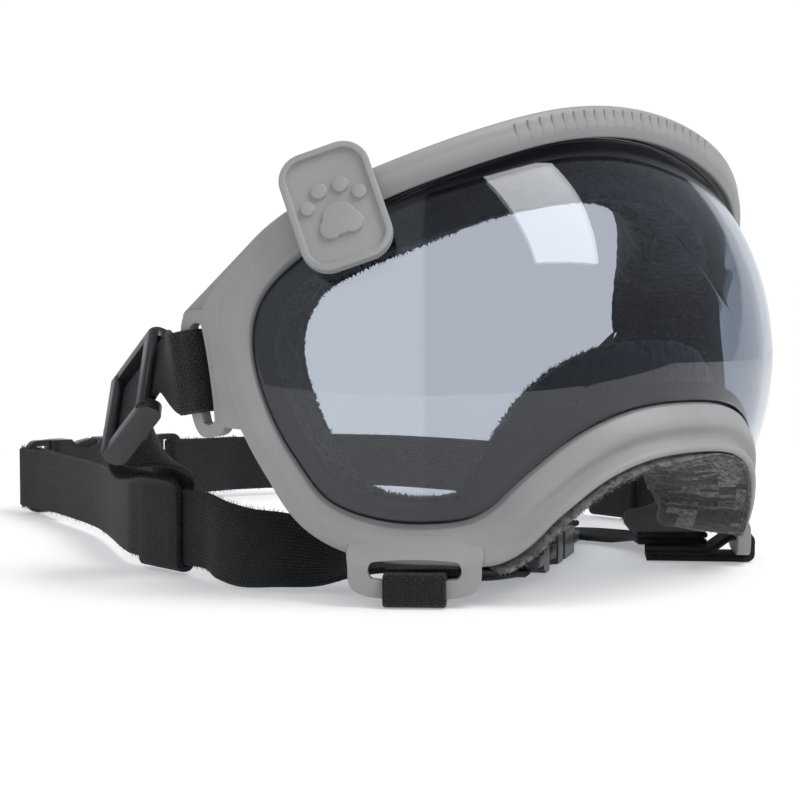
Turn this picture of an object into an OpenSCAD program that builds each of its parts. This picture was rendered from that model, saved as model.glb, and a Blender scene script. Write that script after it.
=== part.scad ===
// Dog goggles: one wrap-round visor in a flexible moulded frame, with a
// fleece-covered foam liner, webbing straps, sliding adjusters and a
// side-release buckle. The goggles stand on the two webbing loops under
// the cheeks and on the neck strap behind, with the straps laid out.
// X runs across the face, the visor looks along -Y, and Z is up.

/* [Visor] */
// Radius of the visor across the face
lens_r = 96; // [90:1:100]
// Radius of the visor from brow to nose
lens_rv = 73; // [68:1:80]
// Thickness of the visor
lens_t = 2.2; // [1.6:0.1:2.8]
// Half of the visor's width, measured round its surface
lens_half = 112; // [106:1:116]
// Rise of the visor above its widest line
lens_up = 60; // [56:1:62]
// Drop of the two cheek lobes below the widest line
lens_down = 42.5; // [40:0.5:45]
// Drop of the nose arch's crown below the widest line
arch_down = 13.2; // [10:0.2:16]
// Gap between the visor's edge and the frame
lens_gap = 0.6; // [0.4:0.1:1]
// Clearance behind the visor, where the frame's ledge carries it
seat_gap = 0.3; // [0.2:0.05:0.5]

/* [Frame] */
// Width of the frame's band at the brow
brow_w = 8; // [7:0.5:9]
// Width of the band at the temples
temple_w = 10; // [9:0.5:12]
// Width of the band under the cheeks
cheek_w = 8.5; // [8:0.5:10]
// Width of the band over the nose
nose_w = 12; // [11:0.5:14]
// How far the brow stands in front of the visor
brow_proud = 2.6; // [2:0.1:3.4]
// How far the brow hangs down over the visor
brow_drop = 4; // [2:0.5:5]
// Thickness of the band at its outer edge
band_t = 2.6; // [2:0.1:3.4]
// Width of the ledge behind the visor
ledge_w = 4; // [3:0.5:5]
// Depth of the side wall towards the face
wall_d = 15; // [13:0.5:17]
// Thickness of the side wall
wall_t = 2.2; // [1.8:0.1:2.8]
// Depth of the groove over the nose
groove = 2.2; // [0:0.1:2.6]
// Lean of the visor away from the viewer
lean = 3; // [2:0.5:4]
// Height of the visor's widest line above the ground
eye_h = 56; // [55.5:0.1:56.5]

/* [Loops on the frame] */
// Height of the lower bar of each cheek loop
loop_bar = 4; // [3.4:0.1:4.4]
// Thickness of the cheek loops
loop_t = 3.6; // [3.2:0.1:4]
// Height of the slot in each cheek loop
loop_slot = 5.2; // [4.8:0.1:5.6]
// Length of the slot in each cheek loop
loop_slot_l = 22; // [21:0.5:24]
// Angle round the face of the cheek loops
cheek_at = 43.5; // [42.5:0.5:44.5]
// Distance of the cheek loops from the middle of the head
cheek_r = 87.8; // [87.4:0.1:88.2]
// Thickness of the temple loops
temple_t = 3.4; // [3:0.1:3.8]
// Width of the temple loops' outer bar
temple_bar = 3.2; // [2.8:0.1:3.6]
// Width of the slot in each temple loop
temple_slot = 4.5; // [4.2:0.1:5]
// Length of the slot in each temple loop
temple_slot_l = 24.5; // [23:0.5:26]

/* [Foam liner] */
// How far the foam hangs into the view at the brow
foam_brow = 21; // [18:0.5:23]
// How far the foam stands into the view at the cheeks
foam_side = 5; // [4:0.5:6]
// How far the foam stands into the view at the nose
foam_nose = 14; // [12:0.5:15]
// Depth of the foam behind the visor's edge at the temples
foam_d = 33; // [31:0.5:34]
// Gap between the foam and the frame
foam_gap = 0.35; // [0.3:0.05:0.5]

/* [Webbing] */
// Width of the neck, chin and upper straps
web_w = 20; // [18:0.5:20]
// Width of the webbing through the cheek loops
loop_web_w = 15; // [12:0.5:20]
// Thickness of the webbing
web_t = 1.6; // [1.3:0.1:1.7]
// Clearance between webbing and what it passes
web_gap = 0.35; // [0.3:0.05:0.4]

/* [Adjusters] */
// Width of an adjuster, across the webbing
slider_w = 28; // [27:0.5:30]
// Length of an adjuster, along the webbing
slider_l = 24; // [22:0.5:25]
// Height of an adjuster's side rails
slider_h = 6; // [5.6:0.1:7]
// Thickness of an adjuster's bars
slider_bar = 2.6; // [2.2:0.1:2.8]

/* [Buckle] */
// Length of the closed buckle
buckle_l = 62; // [60:1:64]
// Width of the buckle
buckle_w = 25; // [25:0.1:25.6]
// Thickness of the buckle
buckle_t = 8; // [7.6:0.1:9]
// Diameter of the bars that hold the webbing
buckle_bar = 3; // [2.6:0.1:3.2]
// Length of the slots for the webbing, along the buckle
buckle_slot = 4.5; // [4:0.1:5]
// Length of the buckle's socket half
socket_l = 36; // [35.6:0.1:36.4]
// Thickness of the prongs and the guide tongue
prong_t = 4; // [3.6:0.1:4.2]
// Clearance round the prongs
prong_gap = 0.3; // [0.25:0.05:0.4]

/* [Badge] */
// Height of the badge on the brow
badge_h = 29.5; // [28:0.5:32]
// Width of the badge
badge_w = 21.8; // [20:0.5:24]
// Thickness of the badge
badge_t = 3; // [2.6:0.1:3.4]

/* [Hidden] */
$fn = 48;
frame_grey = [0.55, 0.55, 0.54];
smoke = [0.25, 0.26, 0.3, 0.6];
fleece = [0.28, 0.29, 0.28];
black_web = [0.12, 0.12, 0.13];
black_nylon = [0.2, 0.2, 0.21];
steps = 3;

// Small vector helpers
function unit(v) = v / norm(v);
function mixn(a, b, k) = a * (1 - k) + b * k;
function flipx(v) = [-v[0], v[1], v[2]];
// A point on the Catmull-Rom curve through four stations
function cr(a, b, c, d, k) = 0.5 * (2 * b + (c - a) * k + (2 * a - 5 * b + 4 * c - d) * k * k
  + (3 * b - a - 3 * c + d) * k * k * k);
// A closed curve through stations, sampled at a real-valued station number
function closed_at(p, u) = let(n = len(p), i = floor(u), k = u - i)
  cr(p[(i + n - 1) % n], p[(i + n) % n], p[(i + 1) % n], p[(i + 2) % n], k);
// Values along an open curve through unevenly spaced stations p, which never runs backwards
function slope(v, p, i) = let(n = len(p), a = max(i - 1, 0), b = min(i + 1, n - 1))
  (v[b] - v[a]) / (norm(p[b] - p[i]) + norm(p[i] - p[a]));
function open_at(v, p, u) = let(i = min(floor(u), len(p) - 2), k = u - i, l = norm(p[i + 1] - p[i]))
  v[i] * (1 - k * k * (3 - 2 * k)) + v[i + 1] * (k * k * (3 - 2 * k))
  + (slope(v, p, i) * (1 - k) - slope(v, p, i + 1) * k) * (l * k * (1 - k));

// The visor's surface: s runs round the face to the right-hand side, t up it
function surf(s, t, o = 0) = let(a = s / lens_r * 180 / PI, e = t / lens_rv * 180 / PI,
  rr = (lens_r - lens_rv) + (lens_rv + o) * cos(e)) [-rr * sin(a), -rr * cos(a), (lens_rv + o) * sin(e)];
function surf_n(s, t) = let(a = s / lens_r * 180 / PI, e = t / lens_rv * 180 / PI)
  [-cos(e) * sin(a), -cos(e) * cos(a), sin(e)];

// Half of the rim: s, t, band width, flare angle, proud, overhang, groove share, change of
// wall depth, spread of the wall, then the foam's inner edge, outer edge and depth
function half_rim() = [
  [0, lens_up, brow_w, 48, brow_proud, -brow_drop, 0, 0, 0, -foam_brow, 4, foam_d - 6],
  [0.232 * lens_half, 0.958 * lens_up, brow_w, 48, brow_proud, -brow_drop, 0, 0, 0, 1 - foam_brow, 4, foam_d - 6],
  [0.464 * lens_half, 0.825 * lens_up, brow_w, 46, 0.92 * brow_proud, -0.75 * brow_drop, 0, 0, 0,
    5.5 - foam_brow, 4, foam_d - 5],
  [0.714 * lens_half, 0.625 * lens_up, brow_w, 34, 0.7 * brow_proud, -0.25 * brow_drop, 0, -1, 0.5,
    10 - foam_brow, 5, foam_d - 3],
  [0.875 * lens_half, 0.425 * lens_up, temple_w, 22, 1, lens_gap, 0, -1, 2, 1 - foam_side, 7, foam_d - 1],
  [0.973 * lens_half, 0.258 * lens_up, temple_w, 12, 0.7, lens_gap, 0, -1, 3, 6 - foam_side, 8, foam_d],
  [lens_half, 0.067 * lens_up, temple_w - 1.5, 8, 0.6, lens_gap, 0, -1, 3, 8.5 - foam_side, 8.5, foam_d],
  [0.973 * lens_half, -0.26 * lens_down, cheek_w - 0.5, 8, 0.6, lens_gap, 0, -1, 2.5, 6.5 - foam_side, 8, foam_d - 2],
  [0.92 * lens_half, -0.59 * lens_down, cheek_w - 0.5, 12, 0.6, lens_gap, 0, -2, 1.5, 3 - foam_side, 7, foam_d - 7],
  [0.857 * lens_half, -0.85 * lens_down, cheek_w, 24, 0.6, lens_gap, 0, -2, 0.5, -foam_side, 6.5, foam_d - 11],
  [0.732 * lens_half, -0.98 * lens_down, cheek_w, 44, 0.6, lens_gap, 0, -3, 0, -1 - foam_side, 6, foam_d - 15],
  [0.589 * lens_half, -lens_down, cheek_w + 0.5, 46, 0.6, lens_gap, 0, -3, 0, -1 - foam_side, 6, foam_d - 16],
  [0.5 * lens_half, -0.93 * lens_down, nose_w, 40, 0.6, lens_gap, 0.2, -4, 0.5, 8 - foam_nose, 9, foam_d - 15],
  [0.411 * lens_half, -arch_down - 0.573 * (lens_down - arch_down), nose_w, 31, 0.6, lens_gap, 0.7, -4, 1.5,
    6 - foam_nose, 14, foam_d - 12],
  [0.295 * lens_half, -arch_down - 0.24 * (lens_down - arch_down), nose_w, 26, 0.6, lens_gap, 1, -4, 2,
    2 - foam_nose, 17, foam_d - 11],
  [0.161 * lens_half, -arch_down - 0.05 * (lens_down - arch_down), nose_w, 24, 0.6, lens_gap, 1, -4, 2,
    -foam_nose, 17.5, foam_d - 11],
  [0, -arch_down, nose_w, 24, 0.6, lens_gap, 1, -4, 2, -foam_nose, 17.5, foam_d - 11]];
function other_side(q) = concat([-q[0]], [for (i = [1:11]) q[i]]);
rim = concat(half_rim(), [for (i = [15:-1:1]) other_side(half_rim()[i])]);
stations = len(rim);
function rim_at(u) = closed_at(rim, u);
// Direction across the rim, outward, in the unrolled surface
function rim_out(u) = let(a = rim_at(u - 0.05), b = rim_at(u + 0.05), d = unit([b[0] - a[0], b[1] - a[1]])) [d[1] * -1, d[0]];
// The rim's own axes: edge point, outward tangent, surface normal, level inward direction
function axes_at(u) = let(q = rim_at(u), w = rim_out(u), p = surf(q[0], q[1]), n = surf_n(q[0], q[1]),
  p2 = surf(q[0] + 0.1 * w[0], q[1] + 0.1 * w[1]), t0 = p2 - p, t = unit(t0 - n * (t0 * n)),
  a = q[0] / lens_r * 180 / PI) [p, t, n, [sin(a), cos(a), 0]];
function in_axes(m, a, b, c = 0) = m[0] + m[1] * a + m[2] * b + m[3] * c;

// Cross-section of the moulded frame at one place on the rim
back = lens_t + seat_gap;
function frame_section(u) = let(q = rim_at(u), m = axes_at(u), w = q[2], f = q[3], v = q[4], o = q[5], g = q[6] * groove,
    k = min(max(lens_gap - o, 0), 1), d = wall_d + q[7], dip = 0.3 + ledge_w * ledge_w / (2 * lens_rv),
    x = function(i, j) in_axes(m, o + i * cos(f) - j * sin(f), v + i * sin(f) + j * cos(f)),
    e1 = in_axes(m, 4.5 + q[8], -2, d), e2 = in_axes(m, 4.5 + q[8] - wall_t, -2, d))
  [in_axes(m, lens_gap, -0.9 + 1.7 * k), x(0, -1.1), x(0.9, 0), x(0.3 * w, 0.9), x(0.58 * w, 0.8 - g),
   x(0.76 * w, 0.4 - 0.8 * g), x(w - 1, 0.4), x(w, -0.8), x(w - 0.3, -band_t + 0.3), x(w - 3.2, -band_t - 1),
   e1, e2, in_axes(m, 0.8, -back - wall_t - 0.4), in_axes(m, -ledge_w, -back - wall_t - dip), in_axes(m, -ledge_w, -back - dip),
   in_axes(m, lens_gap, -back)];
// Cross-section of the foam liner, which starts behind the ledge, fills the wall and
// stands out behind it towards the face
function foam_section(u) = let(q = rim_at(u), m = axes_at(u), d = wall_d + q[7], ti = q[9], to = q[10], e = q[11],
    a = in_axes(m, 0.8, -back - wall_t - 0.4), b = in_axes(m, 4.5 + q[8] - wall_t, -2, d), w = unit(b - a),
    n = -unit(m[1] - w * (m[1] * w)), x = function(i, c) in_axes(m, i, -2, c))
  [a + w * 1.2 + n * foam_gap, a + w * 1.8 + n * (foam_gap + 1.2 + 0.16 * max(-ti, 0)), x(ti, min(12, e - 9)),
   x(ti, e - 6), x(ti + 0.8, e - 2.4), x(ti + 3, e - 0.4), x((ti + to) / 2, e), x(to - 2.6, e - 0.8), x(to - 0.6, e - 3),
   x(to, (e + d) / 2 + 0.5), x(to - 0.6, d + 0.8), x(5 + q[8], d + foam_gap), b + w * foam_gap + n * foam_gap];

// A closed ring or an open run made by joining cross-sections
module sweep_ring(rows) {
  n = len(rows);
  k = len(rows[0]);
  polyhedron(points = [for (r = rows) for (p = r) p], faces = [for (i = [0:n - 1], j = [0:k - 1])
    let(a = i * k + j, b = i * k + (j + 1) % k, c = ((i + 1) % n) * k + (j + 1) % k, d = ((i + 1) % n) * k + j)
    each [[a, c, b], [a, d, c]]]);
}
module sweep_run(rows, hub = 0) {
  n = len(rows);
  k = len(rows[0]);
  polyhedron(points = [for (r = rows) for (p = r) p], faces = concat(
    [for (i = [0:n - 2], j = [0:k - 1])
      let(a = i * k + j, b = i * k + (j + 1) % k, c = (i + 1) * k + (j + 1) % k, d = (i + 1) * k + j)
      each [[a, b, c], [a, c, d]]],
    [for (j = [1:k - 2]) [hub, (hub + j + 1) % k, (hub + j) % k]],
    [for (j = [1:k - 2]) let(o = (n - 1) * k) [o + hub, o + (hub + j) % k, o + (hub + j + 1) % k]]));
}

// A flat band of webbing through stations [point, width direction]
function band_rows(st, w = web_w, t = web_t, sub = 3) = let(c = [for (q = st) q[0]], x = [for (q = st) unit(q[1])])
  [for (i = [0:(len(st) - 1) * sub])
    let(u = i / sub, lim = len(st) - 1, p = open_at(c, c, min(u, lim)),
      d = unit(open_at(c, c, min(u + 0.05, lim)) - open_at(c, c, max(u - 0.05, 0))),
      wd = unit(open_at(x, c, min(u, lim))), h = unit(cross(d, wd)))
    [p + wd * w / 2 + h * t / 2, p + wd * w / 2 - h * t / 2, p - wd * w / 2 - h * t / 2, p - wd * w / 2 + h * t / 2]];
module band(st, w = web_w, t = web_t, sub = 3) {
  sweep_run(band_rows(st, w, t, sub));
}

// A slot with round ends, and a plate with round corners
module slot2d(l, h) {
  square([l - h, h], center = true);
  for (x = [-1, 1]) translate([x * (l - h) / 2, 0]) circle(h / 2);
}
module plate2d(w, h, r) {
  square([w - 2 * r, h], center = true);
  square([w, h - 2 * r], center = true);
  for (x = [-1, 1], y = [-1, 1]) translate([x * (w / 2 - r), y * (h / 2 - r)]) circle(r);
}
// Sets a local frame: origin, x axis and y axis, both of unit length
function axes(o, x, y) = let(z = cross(x, y))
  [[x[0], y[0], z[0], o[0]], [x[1], y[1], z[1], o[1]], [x[2], y[2], z[2], o[2]], [0, 0, 0, 1]];

// The cheek loops stand upright under the band; the webbing round their bars meets the ground
loop_z = web_t + web_gap;
loop_slot_z = loop_z + loop_bar + loop_slot / 2;
loop_top = 15.5;
loop_w = loop_slot_l + 8.5;
cheek_out = [-sin(cheek_at), -cos(cheek_at), 0];
cheek_along = [cos(cheek_at), -sin(cheek_at), 0];
module cheek_loop() {
  multmatrix(axes(cheek_out * (cheek_r - loop_t / 2), cheek_along, [0, 0, 1])) mirror([0, 0, 1])
    translate([0, 0, -loop_t]) linear_extrude(loop_t) difference() {
      union() {
        translate([0, (loop_z + 5 + loop_top) / 2]) square([loop_w, loop_top - loop_z - 5], center = true);
        translate([0, loop_z + 2.5]) square([loop_w - 10, 5], center = true);
        for (x = [-1, 1]) translate([x * (loop_w / 2 - 5), loop_z + 5]) circle(5);
      }
      translate([0, loop_slot_z]) slot2d(loop_slot_l, loop_slot);
    }
}
// The temple loops follow the rim and lean back with it
slot_mid = [-92.3, -24.5, 54.5];
slot_up = unit([-0.078, 0.128, 0.989]);
slot_out0 = unit([-0.967, -0.256, 0]);
slot_back = unit(cross(slot_out0, slot_up));
slot_out = cross(slot_up, slot_back);
bar_mid = slot_mid + slot_back * (temple_slot + temple_bar) / 2;
module temple_loop() {
  multmatrix(axes(slot_mid - slot_out * temple_t / 2, slot_up, slot_back)) linear_extrude(temple_t) difference() {
    translate([0, (temple_bar - 4) / 2]) plate2d(temple_slot_l + 6, temple_slot + temple_bar + 4, 4.5);
    slot2d(temple_slot_l, temple_slot);
  }
  // A web fills the corner between the loop and the band above it
  multmatrix(axes(slot_mid, slot_up, slot_back)) hull() {
    translate([27, -16, -4.2]) cylinder(r = 1.2, h = 2.8, $fn = 24);
    translate([14.2, 3.4, -1.6]) cylinder(r = 1.5, h = 3.2, $fn = 24);
    translate([14.2, -8.5, -1.7]) cylinder(r = 1.5, h = 3.2, $fn = 24);
  }
}
module in_place() {
  translate([0, 0, eye_h]) rotate([-lean, 0, 0]) children();
}
module frame() {
  color(frame_grey) union() {
    in_place() sweep_ring([for (i = [0:stations * steps - 1]) frame_section(i / steps)]);
    for (m = [0, 1]) mirror([m, 0, 0]) {
      cheek_loop();
      temple_loop();
    }
  }
}

// The visor: a shell trimmed to the rim
fan = [1, 0.93, 0.8, 0.6, 0.34];
function fan_pt(u, f, o) = let(q = rim_at(u), c = [0, 0.37 * lens_up]) surf(q[0] * f, c[1] + (q[1] - c[1]) * f, o);
module visor() {
  n = stations * steps;
  k = len(fan);
  side = function(o) concat([for (f = fan, i = [0:n - 1]) fan_pt(i / steps, f, o)], [surf(0, 0.37 * lens_up, o)]);
  m = n * k + 1;
  skin = [for (j = [0:k - 2], i = [0:n - 1])
    let(a = j * n + i, b = j * n + (i + 1) % n, c = (j + 1) * n + (i + 1) % n, d = (j + 1) * n + i)
    each [[a, c, b], [a, d, c]]];
  hub = [for (i = [0:n - 1]) [(k - 1) * n + i, n * k, (k - 1) * n + (i + 1) % n]];
  color(smoke) in_place() polyhedron(points = concat(side(0), side(-lens_t)), faces = concat(skin, hub,
    [for (f = concat(skin, hub)) [f[0] + m, f[2] + m, f[1] + m]],
    [for (i = [0:n - 1]) let(a = i, b = (i + 1) % n) each [[a, b + m, a + m], [a, b, b + m]]]));
}

// The four pieces of the liner run between stations of the rim
function foam_end(u) = let(i = floor(u * steps), k = u * steps - i, a = foam_section(i / steps), b = foam_section((i + 1) / steps))
  [for (j = [0:len(a) - 1]) mixn(a[j], b[j], k)];
module liner(u0, u1) {
  inner = [for (i = [ceil(u0 * steps + 0.2):floor(u1 * steps - 0.2)]) foam_section(i / steps)];
  color(fleece) in_place() sweep_run(concat([foam_end(u0)], inner, [foam_end(u1)]), 5);
}
module liner_brow() {
  liner(stations - 6.48, stations + 6.48);
}
module liner_cheek_r() {
  liner(6.52, 12.82);
}
module liner_cheek_l() {
  liner(stations - 12.82, stations - 6.52);
}
module liner_nose() {
  liner(12.86, 19.14);
}

// The badge lies on the crest of the brow's band and hangs over the visor's edge
badge_u = 3.45;
badge_tilt = 13;
badge_turn = -12;
function badge_axes() = let(q = rim_at(badge_u), m = axes_at(badge_u), f = q[3], w = q[2] - 1,
    k = in_axes(m, q[5] + w * cos(f) - 0.4 * sin(f), q[4] + w * sin(f) + 0.4 * cos(f)),
    d = m[1] * cos(badge_tilt) + m[2] * sin(badge_tilt), nb = m[2] * cos(badge_tilt) - m[1] * sin(badge_tilt),
    l = cross(d, nb), o = k + nb * 0.9 - d * 5.2 - l * 0.3)
  axes(o, l * cos(badge_turn) + d * sin(badge_turn), d * cos(badge_turn) - l * sin(badge_turn));
module badge() {
  r = 0.3 * badge_w;
  color(frame_grey) in_place() multmatrix(badge_axes()) {
    linear_extrude(badge_t - 1) plate2d(badge_w, badge_h, r);
    linear_extrude(badge_t) difference() {
      plate2d(badge_w, badge_h, r);
      plate2d(badge_w - 3.2, badge_h - 3.2, r - 1.6);
    }
    linear_extrude(badge_t - 0.2) {
      translate([0, -3.2]) circle(4);
      for (x = [-1, 1]) translate([x * 2.6, -5]) circle(2.6);
      for (x = [-1, 1]) translate([x * 2.6, 4.6]) circle(1.9);
      for (x = [-1, 1]) translate([x * 6.3, 1.4]) circle(1.7);
    }
  }
}

// An upper strap goes out through the temple slot, round its bar, back through the
// adjuster, down outside the neck strap, under it and up inside it to the adjuster
slider_o = [-92.3, 6.5, 48];
slider_v = unit([-0.03, 0.79, -0.61]);
slider_y = let(w = [-0.46, -0.53, -0.71]) unit(w - slider_v * (w * slider_v));
slider_n = cross(slider_v, slider_y);
wrap_r = web_gap + web_t / 2;
function by_slot(b, n) = bar_mid + slot_back * b + slot_out * n + slot_up * ((temple_slot_l - web_w) / 2 - 1.3);
function by_slider(a, n) = slider_o + slider_v * a + slider_n * n;
bar_b = temple_bar / 2 + wrap_r;
bar_n = temple_t / 2 + wrap_r;
strap_h = web_w / 2 + web_t + web_gap + 0.65;
under_z = strap_h - web_w / 2 - wrap_r;
wrap_e = web_t + web_gap;
// Where it passes the neck strap: x there, then the points on the way down and up
function upper_path(nx, down, up) = concat(
  [for (p = [[7.5, -1.4], [5.2, -2.4], [3, -bar_n], [0, -bar_n], [-0.88 * bar_b, -0.86 * bar_n],
      [-bar_b, 0], [-0.88 * bar_b, 0.86 * bar_n], [0, bar_n], [3, bar_n]])
    [by_slot(p[0], p[1]), slot_up]],
  [for (a = [-14.3, -8, 0, 8, 14.3] * slider_l / 24)
    [by_slider(a, 0), -slider_y]],
  [[down[0], [0.3, 0.8, 0.5]], [down[1], [0.1, 0.98, 0.15]]],
  [for (p = [[-1.5, 24.5], [-1.05, 19], [-1, 12], [-1, under_z + 2.6], [-0.77, under_z + 0.45], [0, under_z],
      [0.77, under_z + 0.45], [1, under_z + 2.6], [1, 12], [1.05, 19], [1.3, 24.5]]) [[nx + p[0] * wrap_e, 22, p[1]], [0, 1, 0]]],
  [[up[0], [0.1, 0.98, 0.15]], [up[1], [0.32, 0.78, 0.53]]],
  [for (p = [[15, -5], [9.6, -2.05], [5.4, -wrap_e]]) [by_slider(p[0], p[1]), -slider_y]]);
neck_r_x = -74.6;
neck_l_x = -103.3;
module upper_strap_r() {
  color(black_web) band(upper_path(neck_r_x, [[-92, 20.5, 32], [-86, 22, 28.5]], [[-75.5, 19.5, 29.5], [-81.5, 16.5, 35]]));
}
module upper_strap_l() {
  color(black_web) mirror([1, 0, 0])
    band(upper_path(neck_l_x, [[-97.4, 20.7, 32.1], [-103.5, 21.7, 28.5]], [[-99, 19.5, 29.5], [-94.5, 17, 34]]));
}
// An adjuster: two rails, and bars over and under the webbing
module slider() {
  slot_w = web_w + 1.8;
  rail = (slider_w - slot_w) / 2;
  color(black_nylon) multmatrix(axes(slider_o, slider_v, slider_y)) {
    for (s = [-1, 1]) translate([0, s * (slot_w + rail) / 2, 0.2]) rotate([90, 0, 0])
      linear_extrude(rail, center = true) plate2d(slider_l, slider_h, 2.6);
    for (s = [-1, 0, 1]) translate([s * (slider_l / 2 - 2), 0, (s == 0 ? -1 : 1) * (web_t / 2 + web_gap + slider_bar / 2)])
      rotate([90, 0, 0]) linear_extrude(slot_w + rail, center = true)
        plate2d(s == 0 ? 3.2 : 4, slider_bar, slider_bar / 2 - 0.2);
  }
}
module upper_slider_r() {
  slider();
}
module upper_slider_l() {
  mirror([1, 0, 0]) slider();
}

// The webbing sewn round each cheek loop's bar, with its tail lying behind it
module lower_loop() {
  y0 = loop_t / 2 + web_gap;
  z1 = loop_z + loop_bar + web_gap;
  k = 0.59 * web_t;
  h = 0.81 * web_t;
  color(black_web) multmatrix(axes(cheek_out * cheek_r, cheek_out, [0, 0, 1])) linear_extrude(loop_web_w, center = true)
    difference() {
      polygon([[-26, 0], [y0 + 0.5, 0], [y0 + 1.2, 0.4], [y0 + web_t, 1.4], [y0 + web_t, z1 + 0.4], [y0 + 1.1, z1 + 1.2],
        [y0 + 0.4, z1 + web_t], [-y0 - 0.5, z1 + web_t], [-9.2, 2 * web_t], [-26, 2 * web_t]]);
      polygon([[-9.2 + k + 0.5, web_t], [y0 - 0.5, web_t], [y0, web_t + 0.5], [y0, z1 - 0.5], [y0 - 0.5, z1],
        [-y0 - 0.5 + k, z1 + web_t - h]]);
    }
}
module lower_loop_r() {
  lower_loop();
}
module lower_loop_l() {
  mirror([1, 0, 0]) lower_loop();
}

// The neck strap's halves lie on the loops' tails, turn upright and go round behind
tail_z = 2 * web_t + web_gap + web_t / 2;
neck_z = tail_z + wrap_e;
module neck_strap_r() {
  b = buckle_bar / 2 + wrap_r;
  x = neck_o[0] + buckle_bar / 2;
  y = neck_o[1];
  color(black_web) band(concat(
    [[[-51, -57.5, neck_z], [0.75, -0.66, 0]], [[-46.5, -51, neck_z], [0.96, -0.28, 0]],
      [[-46.5, -43, neck_z + 0.1], [0.97, 0.22, 0.05]], [[-52, -34, neck_z + 0.8], [0.75, 0.6, 0.25]],
      [[-60, -27.5, strap_h - 4.5], [0.55, 0.5, 0.62]], [[-68.5, -23, strap_h - 2.8], [0.4, 0.35, 0.85]],
      [[-74, -15, strap_h - 2.6], [0.28, 0.12, 0.95]], [[-75.6, -6, strap_h - 1.4], [0.12, 0, 0.99]]],
    [for (p = [[neck_r_x, 2], [neck_r_x, 11], [neck_r_x, 22], [neck_r_x, 33], [neck_r_x + 1, 42], [-54, 91],
        [-45.6, 125], [x - b - 0.6, 150], [x - b, y - 3], [x - b, y], [x - 0.87 * b, y + 0.87 * b], [x, y + b],
        [x + 0.87 * b, y + 0.87 * b], [x + b, y], [x + b, y - 3], [x - 0.4, 150.5], [x - 3.2, 138]])
      [[p[0], p[1], strap_h], [0, 0, 1]]]));
}
module neck_strap_l() {
  b = buckle_bar / 2 + wrap_r;
  x = neck_o[0] + buckle_l - buckle_bar / 2;
  y = neck_o[1];
  color(black_web) band(concat(
    [for (p = [[x + 27, y - 2.6 + wrap_e], [x + 14, y + 0.2], [x + 3, y + b], [x, y + b], [x - 0.87 * b, y + 0.87 * b],
        [x - b, y], [x - 0.87 * b, y - 0.87 * b], [x, y - b], [x + 3, y - b], [x + 14, y - 2.2], [x + 27, y - 2.6],
        [70, 153], [92, 125], [101, 80], [-neck_l_x, 42], [-neck_l_x, 33], [-neck_l_x, 22], [-neck_l_x, 11], [-neck_l_x - 0.3, 3]])
      [[p[0], p[1], strap_h], [0, 0, 1]]],
    [[[100, -3, strap_h - 0.6], [0.07, -0.24, 0.97]], [[93, -8, 10.6], [0.29, -0.65, 0.7]],
      [[84, -14, 8.4], [0.56, -0.81, 0.17]], [[71, -24, neck_z + 0.6], [0.67, -0.73, 0.02]],
      [[58, -38, neck_z], [0.75, -0.66, 0]], [[48, -50, neck_z], [0.77, -0.64, 0]]]));
}

// A side-release buckle: a socket, a plug and two sprung prongs, with its web
// end at the origin, its length along x and its width along y
neck_o = [-40, 165, strap_h];
chin_o = [-16, -42.8, buckle_t / 2];
chin_turn = 33;
root_x = socket_l + 2.3;
root_y = 8.6;
module web_end(w) {
  difference() {
    translate([w / 2, 0]) plate2d(w, buckle_w, 3.5);
    translate([buckle_bar + buckle_slot / 2, 0]) square([buckle_slot, web_w + 1], center = true);
  }
}
module socket() {
  cav = prong_t / 2 + prong_gap;
  color(black_nylon) difference() {
    intersection() {
      linear_extrude(buckle_t, center = true) difference() {
        union() {
          web_end(14);
          translate([9, -buckle_w / 2]) square([socket_l - 9 - 2, buckle_w]);
          translate([socket_l - 4, -buckle_w / 2 + 2]) square([4, buckle_w - 4]);
          for (s = [-1, 1]) translate([socket_l - 2, s * (buckle_w / 2 - 2)]) circle(2);
        }
        for (s = [-1, 1]) translate([21.5, s * (buckle_w / 2 + 4.2)]) circle(7.4);
      }
      rotate([90, 0, 0]) linear_extrude(buckle_w + 2, center = true) union() {
        translate([0, -buckle_bar / 2]) square([12, buckle_bar]);
        translate([8, -buckle_t / 2 + 1.2]) square([socket_l - 8, buckle_t - 2.4]);
        polygon([[9, -buckle_t / 2 + 1.2], [10.6, -buckle_t / 2], [socket_l - 0.8, -buckle_t / 2],
          [socket_l, -buckle_t / 2 + 0.8], [socket_l, buckle_t / 2 - 0.8], [socket_l - 0.8, buckle_t / 2],
          [10.6, buckle_t / 2], [9, buckle_t / 2 - 1.2]]);
      }
    }
    translate([13, -10.75, -cav]) cube([socket_l, 21.5, 2 * cav]);
    for (s = [-1, 1]) translate([21.5, s * buckle_w / 2, 0]) cube([11, 8, 2 * cav], center = true);
  }
}
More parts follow.
